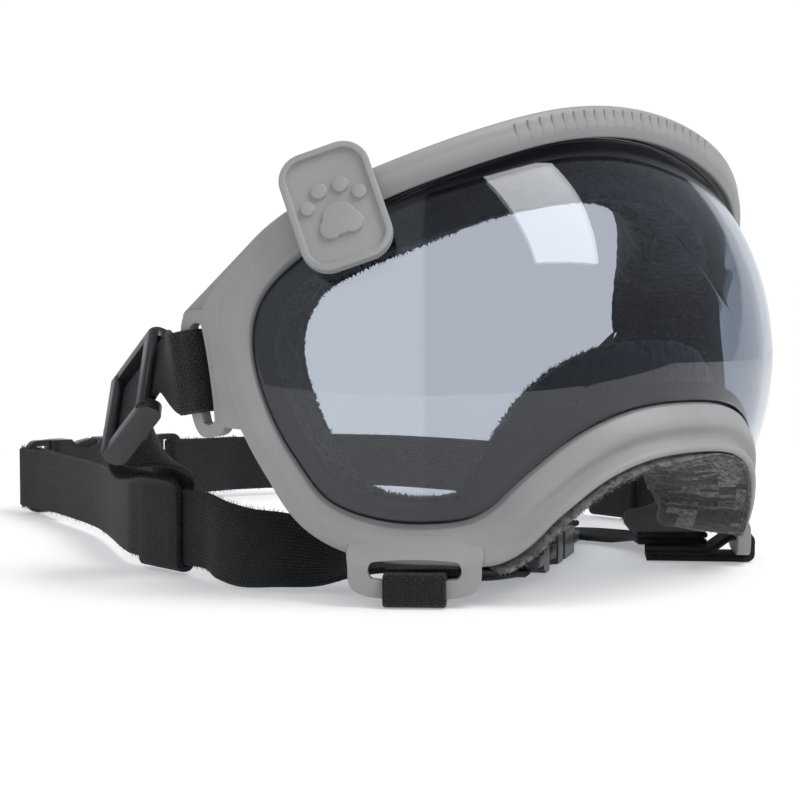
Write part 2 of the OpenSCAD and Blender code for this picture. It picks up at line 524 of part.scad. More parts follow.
module plug() {
  color(black_nylon) difference() {
    union() {
      linear_extrude(buckle_bar, center = true) translate([buckle_l, 0]) mirror([1, 0, 0]) web_end(12);
      translate([socket_l + 0.3, 0, 0]) intersection() {
        linear_extrude(buckle_t, center = true) translate([8, 0]) plate2d(16, buckle_w, 1.6);
        rotate([90, 0, 0]) linear_extrude(buckle_w + 2, center = true)
          polygon([[0, 0.8 - buckle_t / 2], [0.8, -buckle_t / 2], [buckle_l - socket_l - 12, -buckle_t / 2],
            [buckle_l - socket_l - 10.6, 1.2 - buckle_t / 2], [buckle_l - socket_l - 10.6, buckle_t / 2 - 1.2],
            [buckle_l - socket_l - 12, buckle_t / 2], [0.8, buckle_t / 2], [0, buckle_t / 2 - 0.8]]);
      }
      translate([14, -2.8, -prong_t / 2]) cube([socket_l - 12, 5.6, prong_t]);
    }
    for (s = [-1, 1]) translate([root_x, s * root_y, -prong_t / 2 - prong_gap]) {
      cylinder(r = 2 + prong_gap, h = prong_t + 2 * prong_gap);
      translate([-6, -2 - prong_gap, 0]) cube([6, 4 + 2 * prong_gap, prong_t + 2 * prong_gap]);
    }
    translate([buckle_l - buckle_bar - buckle_slot, -web_w / 2 - 0.5, -buckle_t]) cube([buckle_slot, web_w + 1, 2 * buckle_t]);
  }
}
module prong() {
  color(black_nylon) linear_extrude(prong_t, center = true) {
    translate([root_x, root_y]) circle(2);
    polygon([[root_x, root_y + 1.6], [27.4, 10], [26.2, 10.4], [26.2, buckle_w / 2 - 0.3], [24.6, buckle_w / 2 - 0.1],
      [20.4, buckle_w / 2 - 0.9], [17.6, 10.4], [16.8, 8.6], [17.4, 6.9], [19.4, 6.3], [27, 6.8], [root_x, root_y - 1.6]]);
  }
}
module at_neck() {
  translate(neck_o) rotate([90, 0, 0]) children();
}
module at_chin() {
  translate(chin_o) rotate([0, 0, chin_turn]) children();
}
module neck_socket() {
  at_neck() socket();
}
module neck_plug() {
  at_neck() plug();
}
module neck_prong_top() {
  at_neck() prong();
}
module neck_prong_low() {
  at_neck() mirror([0, 1, 0]) prong();
}
module chin_socket() {
  at_chin() socket();
}
module chin_plug() {
  at_chin() plug();
}
module chin_prong_back() {
  at_chin() prong();
}
module chin_prong_front() {
  at_chin() mirror([0, 1, 0]) prong();
}

// The chin strap's halves run from the buckle's bars to the loops' tails
function at_chin_pt(a, h) = [chin_o[0] + a * cos(chin_turn), chin_o[1] + a * sin(chin_turn), chin_o[2] + h];
chin_w = [-sin(chin_turn), cos(chin_turn), 0];
module chin_strap_r() {
  b = buckle_bar / 2 + wrap_r;
  x = buckle_bar / 2;
  color(black_web) band(concat(
    [[[-47.5, -51.5, tail_z], [0.15, 0.99, 0]], [[-41, -52.4, tail_z + 0.1], [0, 1, 0]],
      [[-34, -52, 3.8], [-0.17, 0.98, 0]]],
    [for (p = [[-12, -1.3], [-3, -b], [0, -b], [0.87 * b, -0.87 * b], [b, 0], [0.87 * b, 0.87 * b], [0, b], [-3, b],
        [-10, 1.9], [-14, 1]]) [at_chin_pt(x + p[0], p[1]), chin_w]]));
}
module chin_strap_l() {
  b = buckle_bar / 2 + wrap_r;
  x = buckle_l - buckle_bar / 2;
  color(black_web) band(concat(
    [for (p = [[12, 2], [9, 2], [3, b], [0, b], [-0.87 * b, 0.87 * b], [-b, 0], [-0.87 * b, -0.87 * b], [0, -b], [3, -b],
        [8, -2.2]]) [at_chin_pt(x + p[0], p[1]), chin_w]],
    [[[48.8, -3.4, 1.8], [0, 1, 0]], [[57, -7, 1.7], [0.71, 0.71, 0]], [[60.6, -15.6, 1.6], [1, 0, 0]],
      [[60, -26, 2.1], [0.99, -0.14, 0]], [[57.5, -35, 3.9], [0.94, -0.34, 0]], [[53, -43, tail_z + 0.1], [0.83, -0.56, 0]],
      [[48.5, -49.5, tail_z], [0.8, -0.6, 0]]]));
}
frame();
visor();
liner_brow();
liner_cheek_r();
liner_cheek_l();
liner_nose();
badge();
upper_strap_r();
upper_strap_l();
upper_slider_r();
upper_slider_l();
lower_loop_r();
lower_loop_l();
neck_strap_r();
neck_strap_l();
neck_socket();
neck_plug();
neck_prong_top();
neck_prong_low();
chin_strap_r();
chin_strap_l();
chin_socket();
chin_plug();
chin_prong_front();
chin_prong_back();
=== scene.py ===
# %% [markdown]
# # Dog goggles
# The object is a pair of wrap-round goggles for a dog: a smoked visor in a soft
# grey frame, a fleece-covered foam liner behind it, and black webbing with two
# adjusters and two side-release buckles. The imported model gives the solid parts
# and how they move. This lesson gives them their real surfaces, piece by piece.
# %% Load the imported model
import bpy
import bmesh
import random
from collections import namedtuple
from math import sin, cos, pi, radians, floor, ceil
from mathutils import Matrix, Vector, noise


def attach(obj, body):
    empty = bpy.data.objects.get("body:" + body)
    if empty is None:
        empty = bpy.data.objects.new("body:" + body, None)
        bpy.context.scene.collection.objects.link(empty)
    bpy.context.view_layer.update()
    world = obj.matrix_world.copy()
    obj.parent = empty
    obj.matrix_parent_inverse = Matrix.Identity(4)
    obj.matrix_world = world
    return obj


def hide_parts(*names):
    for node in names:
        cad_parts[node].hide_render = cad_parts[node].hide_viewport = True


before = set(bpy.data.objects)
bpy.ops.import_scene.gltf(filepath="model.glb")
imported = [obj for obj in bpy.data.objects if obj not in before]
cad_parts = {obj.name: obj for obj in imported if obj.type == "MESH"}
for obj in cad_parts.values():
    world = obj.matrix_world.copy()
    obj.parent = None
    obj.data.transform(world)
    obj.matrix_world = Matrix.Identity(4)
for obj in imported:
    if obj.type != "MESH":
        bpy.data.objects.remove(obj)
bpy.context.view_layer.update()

# %% [markdown]
# ## The camera
# The photograph was taken from just above the table, in front and to the wearer's
# right. The camera's place, turn and focal length were worked out from known points
# of the object, so the render can be laid over the photograph.
# %% Camera
YAW, PITCH, FOCAL_PX = radians(40.398), radians(2.86), 1669.684
SENSOR_MM, PICTURE_PX = 36, 800
camera_data = bpy.data.cameras.new("photo_camera")
camera_data.lens = FOCAL_PX * SENSOR_MM / PICTURE_PX
camera_data.clip_start = 0.01
camera = bpy.data.objects.new("photo_camera", camera_data)
camera.location = (-0.3156, -0.3582, 0.0681)
camera.rotation_euler = (pi / 2 - PITCH, 0, -YAW)
bpy.context.collection.objects.link(camera)
bpy.context.scene.camera = camera
view_way = Vector((sin(YAW), cos(YAW), 0))
print("focal length", round(camera_data.lens, 1), "mm")

# %% [markdown]
# ## Helpers for nodes and colours
# Every finish is built from shader nodes. One small function adds a node, sets what
# it is given and links the rest, and another turns the colours, which are written
# as in a paint program, into the linear values that the shader wants. The others
# give a bump, a mix of two tones, noise on the piece's own coordinates, and the
# finish of loose strands.
# %% Helpers for materials
def linear(colour):
    parts = [int(colour[i:i + 2], 16) / 255 for i in (1, 3, 5)]
    return [c / 12.92 if c <= 0.04045 else ((c + 0.055) / 1.055) ** 2.4 for c in parts] + [1]


def add_node(tree, kind, inputs=None, **settings):
    made = tree.nodes.new("ShaderNode" + kind)
    for name, value in settings.items():
        setattr(made, name, value)
    for name, value in (inputs or {}).items():
        if isinstance(value, bpy.types.NodeSocket):
            tree.links.new(value, made.inputs[name])
        else:
            made.inputs[name].default_value = value
    return made


def new_finish(name, colour, roughness, **sockets):
    material = bpy.data.materials.new(name)
    material.use_nodes = True
    shader = material.node_tree.nodes["Principled BSDF"]
    shader.inputs["Base Color"].default_value = linear(colour)
    shader.inputs["Roughness"].default_value = roughness
    for socket, value in sockets.items():
        shader.inputs[socket.replace("_", " ")].default_value = value
    return material, material.node_tree, shader


def bump(tree, shader, height, distance, strength):
    made = add_node(tree, "Bump", {"Height": height, "Distance": distance, "Strength": strength})
    tree.links.new(made.outputs["Normal"], shader.inputs["Normal"])


def two_tone(tree, shader, amount, dark, light):
    made = add_node(tree, "Mix", {0: amount, 6: linear(dark), 7: linear(light)}, data_type="RGBA")
    tree.links.new(made.outputs[2], shader.inputs["Base Color"])


def speckle(tree, scale, detail, **more):
    place = add_node(tree, "TexCoord").outputs["Object"]
    made = add_node(tree, "TexNoise", {"Vector": place, "Scale": scale, "Detail": detail, **more})
    return made.outputs["Fac"]


def strand_finish(name, colour, sheen, dark, light):
    material, tree, shader = new_finish(name, colour, 0.9, Sheen_Weight=sheen, Sheen_Roughness=0.5)
    two_tone(tree, shader, speckle(tree, 900.0, 2.0), dark, light)
    return material


# %% [markdown]
# ## Moulded TPU
# The frame is thermoplastic polyurethane, a rubbery plastic moulded in a steel tool
# with a fine spark-eroded texture. That gives a matte grey with soft highlights, a
# grain of about 0.4 mm, and faint clouds where the plastic flowed.
# %% TPU finish
tpu, tree, shader = new_finish("moulded_tpu_grey", "#9e9e9d", 0.52, IOR=1.5)
two_tone(tree, shader, speckle(tree, 70.0, 3.0), "#979796", "#a7a7a7")
bump(tree, shader, speckle(tree, 2400.0, 2.0), 0.00005, 0.35)
print("finish", tpu.name)

# %% [markdown]
# ## Smoked polycarbonate
# The visor is injection-moulded polycarbonate with a grey dye and a hard coat. It
# is clear and glossy. Its index is set to 1.5, as of the coat, and it lets through
# a bit under half of the light. The tint sits in the base colour, which a ray meets
# once on its way in and once on its way out. Towards each temple, from a line 42
# degrees off the middle, the smoke is a shade lighter, so the colour changes there
# on the piece's own coordinates, over a millimetre.
# %% Visor finish
LIGHTER_PAST, EASE = radians(42), 0.0005
smoke, tree, shader = new_finish("smoked_polycarbonate", "#afb6c2", 0.0, IOR=1.5, Transmission_Weight=1.0)
place = add_node(tree, "TexCoord").outputs["Object"]
halves = add_node(tree, "VectorMath", {0: place}, operation="ABSOLUTE").outputs["Vector"]
sides = add_node(tree, "VectorMath", {0: halves, 1: (cos(LIGHTER_PAST), 0, 0)}, operation="DOT_PRODUCT")
depth = add_node(tree, "VectorMath", {0: place, 1: (0, sin(LIGHTER_PAST), 0)}, operation="DOT_PRODUCT")
past = add_node(tree, "Math", {0: sides.outputs["Value"], 1: depth.outputs["Value"]}, operation="ADD")
zone = add_node(tree, "MapRange", {"Value": past.outputs[0], "From Min": -EASE, "From Max": EASE})
two_tone(tree, shader, zone.outputs[0], "#afb6c2", "#b7bfcb")
print("finish", smoke.name)

# %% [markdown]
# ## Painted shade on the ledge
# The ledge behind the visor is the frame's own grey plastic, painted dark here as
# painted shade, so nothing grey shows through the visor at its edge. The dark finish
# is quite without gloss.
# %% Ledge shade finish
ledge_shade, tree, shader = new_finish("ledge_painted_shade", "#3a3a3e", 0.95)
ledge_grain = speckle(tree, 1500.0, 2.0)
two_tone(tree, shader, ledge_grain, "#28282b", "#363639")
bump(tree, shader, ledge_grain, 0.0001, 0.5)
print("finish", ledge_shade.name)

# %% [markdown]
# ## Fleece
# The foam is covered with a short brushed fleece in dark grey. Its fibres stand up
# in small tufts of about a millimetre, and catch the light at grazing angles, which
# the shader's sheen gives. Noise makes the tufts. The fleece has a shaded and a lit
# copy: inside the goggles it is painted darker, as painted shade, and where it folds
# round the rim under the nose, out in the light, it is paler, as painted light. Its
# loose fibres there are paler still, a painted highlight.
# %% Fleece finish
# The darker copy of the fleece, painted shade, for the fleece inside the goggles.
fleece, tree, shader = new_finish("fleece_dark_grey_painted_shade", "#343438", 0.95, Sheen_Weight=0.35,
    Sheen_Roughness=0.5)
tufts = speckle(tree, 800.0, 5.0, Roughness=0.65)
two_tone(tree, shader, tufts, "#1f1f22", "#3d3d41")
bump(tree, shader, tufts, 0.0005, 0.6)
# The paler copy of the same fleece, painted light, for where it lies out in the light under the nose.
lit_fleece, tree, shader = new_finish("fleece_grey_painted_light", "#6b6c6b", 0.95, Sheen_Weight=0.4, Sheen_Roughness=0.5)
tufts = speckle(tree, 700.0, 5.0, Roughness=0.7)
spread = add_node(tree, "MapRange", {"Value": tufts, "From Min": 0.35, "From Max": 0.65})
two_tone(tree, shader, spread.outputs[0], "#3b3c3b", "#8d8e8c")
bump(tree, shader, tufts, 0.0008, 0.9)
# The loose fibres under the arch are paler, as a painted highlight.
lit_fibre = strand_finish("fleece_fibres_painted_light", "#7d7e7d", 0.3, "#4c4d4d", "#979897")
print("finishes", fleece.name, lit_fleece.name, lit_fibre.name)

# %% [markdown]
# ## Nylon webbing
# Webbing is woven from thick yarns. Seen close, it is rows of small bumps, each
# about 0.9 mm long and wide, set like bricks. The Brick texture draws just
# that on the band's own UV map, whose units are millimetres along and across.
# %% Webbing finish
YARN_L, YARN_W, DRIFT = 0.9, 0.95, 0.35
webbing, tree, shader = new_finish("black_nylon_webbing", "#161618", 0.8, Sheen_Weight=0.12,
    Sheen_Roughness=0.4)
along = add_node(tree, "UVMap", uv_map="UVMap").outputs["UV"]
fray = add_node(tree, "TexNoise", {"Vector": along, "Scale": 1.4, "Detail": 3.0})
shift = add_node(tree, "VectorMath", {0: fray.outputs["Color"], 1: (DRIFT, DRIFT, 0)}, operation="MULTIPLY")
moved = add_node(tree, "VectorMath", {0: along, 1: shift.outputs[0]}, operation="ADD")
yarns = add_node(tree, "TexBrick", {"Vector": moved.outputs[0], "Color1": linear("#1f1f22"),
    "Color2": linear("#131315"), "Mortar": linear("#060607"), "Scale": 1.0, "Mortar Size": 0.22,
    "Mortar Smooth": 1.0, "Bias": 0.0, "Brick Width": YARN_L, "Row Height": YARN_W}, offset=0.5)
lint = add_node(tree, "Mix", {0: 0.35, 6: yarns.outputs["Color"], 7: fray.outputs["Fac"]},
    data_type="RGBA", blend_type="SOFT_LIGHT")
tree.links.new(lint.outputs[2], shader.inputs["Base Color"])
lows = add_node(tree, "Math", {0: 1.0, 1: yarns.outputs["Fac"]}, operation="SUBTRACT")
bump(tree, shader, lows.outputs[0], 0.0004, 0.8)
print("finish", webbing.name)

# %% [markdown]
# ## Acetal
# Buckles and adjusters are moulded in acetal, a slippery engineering plastic. It is
# near black with a satin gloss, and handling has worn its highlights a little
# uneven, which a slow noise on the roughness gives.
# %% Acetal finish
acetal, tree, shader = new_finish("moulded_acetal_black", "#2b2b2e", 0.32, IOR=1.48)
wear = speckle(tree, 160.0, 4.0)
span = add_node(tree, "MapRange", {"Value": wear, "To Min": 0.24, "To Max": 0.44})
tree.links.new(span.outputs[0], shader.inputs["Roughness"])
two_tone(tree, shader, wear, "#262629", "#323236")
bump(tree, shader, wear, 0.0001, 0.2)
print("finish", acetal.name)

# %% [markdown]
# ## A sheet bent into place
# Nearly every soft piece here is a grid of faces bent onto a surface: a ring for
# the frame, a run for the liner, a ribbon for the webbing. The grid operator makes
# the faces, one function says where each corner goes, and the seam is merged. A
# lining gives some of its columns and rows a second finish, up to a ragged edge.
# %% Bent grid
Lining = namedtuple("Lining", "finish columns rows ragged")


def bent_grid(name, rows, columns, where, material, ring=False, uv_at=None, round_off=0, lining=None):
    mesh = bmesh.new()
    chart = mesh.loops.layers.uv.new("UVMap")
    bmesh.ops.create_grid(mesh, x_segments=rows, y_segments=columns, size=0.5)

    def row_column(spot):
        return (spot.x + 0.5) * rows, (spot.y + 0.5) * columns

    for face in mesh.faces:
        if lining:
            row, column = row_column(face.calc_center_median())
            wavering = lining.ragged * noise.noise(Vector((0.3 * row, 0.4 * column, 0)))
            inside = lining.columns[0] + wavering < column < lining.columns[1]
            face.material_index = int(inside and lining.rows[0] < row < lining.rows[1])
        for loop in face.loops:
            i, j = row_column(loop.vert.co)
            loop[chart].uv = uv_at(i, j) if uv_at else (i, j)
    for vert in mesh.verts:
        i, j = row_column(vert.co)
        vert.co = Vector(where(round(i), round(j))) / 1000
    bmesh.ops.remove_doubles(mesh, verts=mesh.verts, dist=2e-6)
    if not ring:
        bmesh.ops.holes_fill(mesh, edges=[e for e in mesh.edges if e.is_boundary], sides=0)
    bmesh.ops.recalc_face_normals(mesh, faces=mesh.faces)
    piece = to_piece(name, mesh, material, round_off)
    if lining:
        piece.data.materials.append(lining.finish)
    return piece


def to_piece(name, mesh, material, round_off=0, bevel=0):
    data = bpy.data.meshes.new(name)
    mesh.to_mesh(data)
    mesh.free()
    piece = bpy.data.objects.new(name, data)
    bpy.context.collection.objects.link(piece)
    data.materials.append(material)
    data.shade_smooth()
    if bevel:
        made = piece.modifiers.new("soft_edges", "BEVEL")
        made.width, made.segments, made.limit_method, made.angle_limit = bevel, 3, "ANGLE", radians(28)
        made.harden_normals = True
    if round_off:
        made = piece.modifiers.new("rounding", "SUBSURF")
        made.levels = made.render_levels = round_off
    return piece


def dress(piece, body, slot, *nodes):
    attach(piece, body)
    if nodes:
        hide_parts(*nodes)
    print(piece.name, len(piece.data.vertices), "corners")


# %% [markdown]
# ## The rim's curve
# The visor is cut from a doughnut-shaped shell: 96 mm round the face and 73 mm from
# brow to nose. Its edge is a smooth closed curve through 32 stations, given for one
# half and mirrored. Each station gives, in millimetres and degrees: its place
# across and up; the band's width, flare, how proud it stands and how far it hangs
# over the visor; the share of the groove; how much deeper and wider the wall is;
# and the foam's inner edge, outer edge and depth.
# %% Rim stations
FACE_R, BROW_R, VISOR_T = 96.0, 73.0, 2.2
HALF, RISE, DROP, ARCH = 112.0, 60.0, 42.5, 13.2
BAND_T, LEDGE, WALL_D, WALL_T, WALL_OUT, GROOVE, SEAT = 2.6, 4.0, 15.0, 2.2, 4.5, 2.2, 0.3
EYE_Z, LEAN = 56.0, radians(3)
Station = namedtuple("Station", "s t wide flare proud over dent deeper wider inner outer foam")


def clamp(value, low=0, high=1):
    return min(max(value, low), high)


def arch_at(share):
    return -ARCH - share * (DROP - ARCH)


half_rim = [
    (0, RISE, 8, 48, 2.6, -4, 0, 0, 0, -21, 4, 27),
    (0.232 * HALF, 0.958 * RISE, 8, 48, 2.6, -4, 0, 0, 0, -20, 4, 27),
    (0.464 * HALF, 0.825 * RISE, 8, 46, 2.39, -3, 0, 0, 0, -15.5, 4, 28),
    (0.714 * HALF, 0.625 * RISE, 8, 34, 1.82, -1, 0, -1, 0.5, -11, 5, 30),
    (0.875 * HALF, 0.425 * RISE, 10, 22, 1, 0.6, 0, -1, 2, -4, 7, 32),
    (0.973 * HALF, 0.258 * RISE, 10, 12, 0.7, 0.6, 0, -1, 3, 1, 8, 33),
    (HALF, 0.067 * RISE, 8.5, 8, 0.6, 0.6, 0, -1, 3, 3.5, 8.5, 33),
    (0.973 * HALF, -0.26 * DROP, 8, 8, 0.6, 0.6, 0, -1, 2.5, 1.5, 8, 31),
    (0.92 * HALF, -0.59 * DROP, 8, 12, 0.6, 0.6, 0, -2, 1.5, -2, 7, 26),
    (0.857 * HALF, -0.85 * DROP, 8.5, 24, 0.6, 0.6, 0, -2, 0.5, -5, 6.5, 22),
    (0.732 * HALF, -0.98 * DROP, 8.5, 44, 0.6, 0.6, 0, -3, 0, -6, 6, 18),
    (0.589 * HALF, -DROP, 9, 46, 0.6, 0.6, 0, -3, 0, -6, 6, 17),
    (0.5 * HALF, -0.93 * DROP, 12, 40, 0.6, 0.6, 0.2, -4, 0.5, -6, 9, 18),
    (0.411 * HALF, arch_at(0.573), 12, 31, 0.6, 0.6, 0.7, -4, 1.5, -8, 14, 21),
    (0.295 * HALF, arch_at(0.24), 12, 26, 0.6, 0.6, 1, -4, 2, -12, 17, 22),
    (0.161 * HALF, arch_at(0.05), 12, 24, 0.6, 0.6, 1, -4, 2, -14, 17.5, 22),
    (0, arch_at(0), 12, 24, 0.6, 0.6, 1, -4, 2, -14, 17.5, 22)]
rim = half_rim + [(-q[0],) + q[1:] for q in half_rim[15:0:-1]]
STATIONS = len(rim)


def between(a, b, c, d, k):
    bend = 2 * a - 5 * b + 4 * c - d
    return 0.5 * (2 * b + (c - a) * k + bend * k * k + (3 * b - a - 3 * c + d) * k ** 3)


def rim_at(u):
    i, k = floor(u), u - floor(u)
    near = [rim[(i + n) % STATIONS] for n in (-1, 0, 1, 2)]
    return Station(*(between(*(q[c] for q in near), k) for c in range(len(Station._fields))))


def skin(s, t, out=0.0):
    a, e = s / FACE_R, t / BROW_R
    far = FACE_R - BROW_R + (BROW_R + out) * cos(e)
    return Vector((-far * sin(a), -far * cos(a), (BROW_R + out) * sin(e)))


def stand(p):
    return Vector((p[0], p[1] * cos(LEAN) + p[2] * sin(LEAN), p[2] * cos(LEAN) - p[1] * sin(LEAN) + EYE_Z))


def rim_axes(u):
    q, a, b = rim_at(u), rim_at(u - 0.05), rim_at(u + 0.05)
    run = Vector((b.s - a.s, b.t - a.t)).normalized()
    s, e = q.s / FACE_R, q.t / BROW_R
    point = skin(q.s, q.t)
    face = Vector((-cos(e) * sin(s), -cos(e) * cos(s), sin(e)))
    side = skin(q.s - 0.1 * run.y, q.t + 0.1 * run.x) - point
    side = (side - face * side.dot(face)).normalized()
    return point, side, face, Vector((sin(s), cos(s), 0))


def on_band(q, point, side, face, i, j):
    flare = radians(q.flare)
    return point + side * (q.over + i * cos(flare) - j * sin(flare)) + \
        face * (q.proud + i * sin(flare) + j * cos(flare))


print("stations round the rim", STATIONS)

# %% [markdown]
# ## The frame's cross-section
# The moulding's section is a flared band in front, a ledge behind the visor and a
# wall that holds the foam. The brow stands proud and hangs over the visor. Over
# the nose a groove runs along the band. Twenty points carry it, and subdivision
# rounds them as the mould's fillets do.
# %% Frame ring
def frame_section(u):
    q = rim_at(u)
    point, side, face, level = rim_axes(u)
    wide, dent, wall_end = q.wide, q.dent * GROOVE, WALL_OUT + q.wider
    shut, deep, back = clamp(0.6 - q.over), WALL_D + q.deeper, VISOR_T + SEAT
    lip, sag = 0.4 + 0.12 * dent, SEAT + LEDGE * LEDGE / (2 * BROW_R)

    def at(a, b, c=0.0):
        return stand(point + side * a + face * b + level * c)

    def band(i, j):
        return stand(on_band(q, point, side, face, i, j))

    return [at(0.6, -0.9 + 1.7 * shut), band(0, -1.1), band(0.15, -0.2), band(0.9, 0.1),
        band(0.3 * wide, 0.95), band(0.45 * wide, 0.95), band(0.54 * wide, 0.9 - 0.6 * dent),
        band(0.62 * wide, 0.7 - 1.15 * dent), band(0.75 * wide, 0.55 - 0.95 * dent), band(wide - 1.3, lip),
        band(wide, lip - 0.9), band(wide, -1.5), band(wide - 0.5, -BAND_T + 0.2),
        band(wide - 3.2, -BAND_T - 1), at(wall_end, -2, deep), at(wall_end - WALL_T, -2, deep),
        at(0.8, -back - WALL_T - 0.4), at(-LEDGE, -back - WALL_T - sag), at(-LEDGE, -back - sag),
        at(0.6, -back)]


FRAME_FINE, CORNERS, LEDGE_SHADE_FROM = 5, 20, 14.9
FRAME_ROWS = STATIONS * FRAME_FINE
sections = [frame_section(i / FRAME_FINE) for i in range(FRAME_ROWS)]
# The columns from the ledge on take the dark ledge finish: painted shade behind the visor's edge.
moulding = bent_grid("frame_moulding", FRAME_ROWS, CORNERS,
    lambda i, j: sections[i % FRAME_ROWS][j % CORNERS], tpu, ring=True, round_off=2,
    lining=Lining(ledge_shade, (LEDGE_SHADE_FROM, CORNERS), (0, FRAME_ROWS), 0))
dress(moulding, "goggles", "frame", "frame")

# %% [markdown]
# ## Ribs on the brow
# The brow carries a row of plain raised ribs, a common way to dress a moulded band.
# Each is a small block on the band's own axes, and one bevel rounds them all.
# %% Brow ribs
def turned(v):
    return stand(v) - stand(Vector((0, 0, 0)))


RIBS, FIRST_RIB, RIBS_SPAN, RIB_SIZE = 21, 30.45, 3.2, (0.0011, 0.0044, 0.0009, 1)
ribs = bmesh.new()
for n in range(RIBS):
    u = FIRST_RIB + RIBS_SPAN * n / (RIBS - 1)
    q = rim_at(u)
    point, side, face, _ = rim_axes(u)
    over_band = side * cos(radians(q.flare)) + face * sin(radians(q.flare))
    off_band = face * cos(radians(q.flare)) - side * sin(radians(q.flare))
    middle = stand(on_band(q, point, side, face, 0.58 * q.wide, 0.5)) / 1000
    axes = Matrix((turned(over_band.cross(off_band)), turned(over_band), turned(off_band)))
    spot = Matrix.Translation(middle) @ axes.transposed().to_4x4() @ Matrix.Diagonal(RIB_SIZE)
    bmesh.ops.create_cube(ribs, size=1.0, matrix=spot)
bmesh.ops.bevel(ribs, geom=ribs.edges[:], offset=0.0002, segments=2, profile=0.5, affect="EDGES", material=-1)
dress(to_piece("brow_ribs", ribs, tpu), "goggles", "frame", "frame")

# %% [markdown]
# ## Loops for the webbing
# Two loops hang under the cheeks and two stand behind the temples. Each is a flat
# plate with rounded corners and a long slot. Two circles are pulled into the
# outline and the slot, bridged into a flat ring, and given their thickness. The
# cheek loops are tucked in at the top, under the band. Above each temple slot a
# thin web ties the loop to the band: the hull round three pins. A bent sheet then
# fills the step between the loop and the band.
# %% Slotted loops
LOOP_SIDES = 64
CHEEK_AT, CHEEK_R, CHEEK_Z = radians(43.5), 87.8, 8.7
WEB_PINS = ((27, -16, -4.2, 1.2, 2.8), (14.2, 3.4, -1.6, 1.5, 3.2), (14.2, -8.5, -1.7, 1.5, 3.2))
BLEND_STATIONS = ((4.55, 27.5, -15.5, -2.7), (4.95, 21, -7, -0.6), (5.35, 15.2, -1.8, 1.5),
    (5.6, 12.6, -2.8, 1.8), (6.0, 6.5, -2.8, 1.8), (6.5, -2.5, -2.8, 1.8), (6.95, -10.5, -2.8, 1.8),
    (7.2, -13.4, -4, 1.6))
BLEND_T, BLEND_FINE = 2.2, 4


def slotted_loop(name, outline, slot_l, slot_w, middle, across, up, thick, slot_shift=0.0, tuck=0.0):
    mesh = bmesh.new()
    out = across.cross(up)

    def slot_edge(a):
        flat = (slot_l - slot_w) / 2
        return slot_w / 2 * cos(a) + flat * clamp(1.6 * cos(a), -1, 1), slot_w / 2 * sin(a) + slot_shift

    for shape in (outline, slot_edge):
        ring = bmesh.ops.create_circle(mesh, cap_ends=False, segments=LOOP_SIDES, radius=1)["verts"]
        for n, vert in enumerate(ring):
            vert.co = Vector(shape(2 * pi * n / LOOP_SIDES) + (0,))
    bmesh.ops.bridge_loops(mesh, edges=mesh.edges[:])
    grown = bmesh.ops.extrude_face_region(mesh, geom=mesh.faces[:])["geom"]
    lifted = [v for v in grown if isinstance(v, bmesh.types.BMVert)]
    bmesh.ops.translate(mesh, verts=lifted, vec=(0, 0, thick))
    for vert in mesh.verts:
        x, y, z = vert.co
        sunk = tuck * min(0.11 * max(y - 0.2 * slot_w, 0) ** 2, 2.9)
        vert.co = (middle + across * x + up * y + out * (z - thick / 2 - sunk)) / 1000
    bmesh.ops.recalc_face_normals(mesh, faces=mesh.faces)
    dress(to_piece(name, mesh, tpu, bevel=0.0009), "goggles", "frame", "frame")


def rounded_box(wide, low, high, squareness, flare=0.0):
    def outline(a):
        x, y = cos(a), sin(a)
        reach = (abs(x) ** squareness + abs(y) ** squareness) ** (-1 / squareness)
        top = max(y, 0) * reach
        return x * reach * (wide / 2 + flare * top * top), y * reach * (low if y < 0 else high)
    return outline


def cheek_ways(side):
    outward = Vector((-sin(CHEEK_AT) * side, -cos(CHEEK_AT), 0))
    return outward, Vector((cos(CHEEK_AT), -sin(CHEEK_AT) * side, 0))


def temple_axes(side):
    up = Vector((-0.078 * side, 0.128, 0.989)).normalized()
    back = Vector((-0.967 * side, -0.256, 0)).cross(up).normalized() * side
    return Vector((-92.3 * side, -24.5, 54.5)), up, back, up.cross(back)


def temple_web(tag, middle, up, back, out):
    pins = bmesh.new()
    axes = Matrix((up, back, out)).transposed().to_4x4()
    for a, b, c, radius, high in WEB_PINS:
        spot = Matrix.Translation((middle + up * a + back * b + out * c) / 1000) @ axes
        bmesh.ops.create_cone(pins, cap_ends=True, segments=20, radius1=radius / 1000, radius2=radius / 1000,
            depth=high / 1000, matrix=spot)
    hull = bmesh.ops.convex_hull(pins, input=pins.verts)
    hidden = [g for g in hull["geom_interior"] if isinstance(g, bmesh.types.BMVert)]
    bmesh.ops.delete(pins, geom=hidden, context="VERTS")
    bmesh.ops.dissolve_limit(pins, angle_limit=radians(1), verts=pins.verts, edges=pins.edges)
    dress(to_piece("temple_web_" + tag, pins, tpu, bevel=0.0006), "goggles", "frame", "frame")


def temple_blend(tag, side, middle, up, back, out):
    blend = []
    for u, a, b, c in BLEND_STATIONS:
        section = frame_section(u)
        edge = section[8].lerp(section[9], 0.7)
        edge = Vector((edge.x * side, edge.y, edge.z)) + out * 0.1
        bar = middle + up * a + back * b + out * c
        skin_row = [bar.lerp(edge, k / 3) for k in range(4)]
        blend.append(skin_row + [p - out * BLEND_T for p in reversed(skin_row)])
    last, rows = len(blend) - 1, []
    for i in range(last):
        near = [blend[clamp(i + k, 0, last)] for k in (-1, 0, 1, 2)]
        for n in range(BLEND_FINE):
            rows.append([between(*(row[j] for row in near), n / BLEND_FINE) for j in range(8)])
    rows.append(blend[last])
    piece = bent_grid("temple_blend_" + tag, len(rows) - 1, 8, lambda i, j: rows[i][j % 8], tpu, round_off=2)
    dress(piece, "goggles", "frame", "frame")


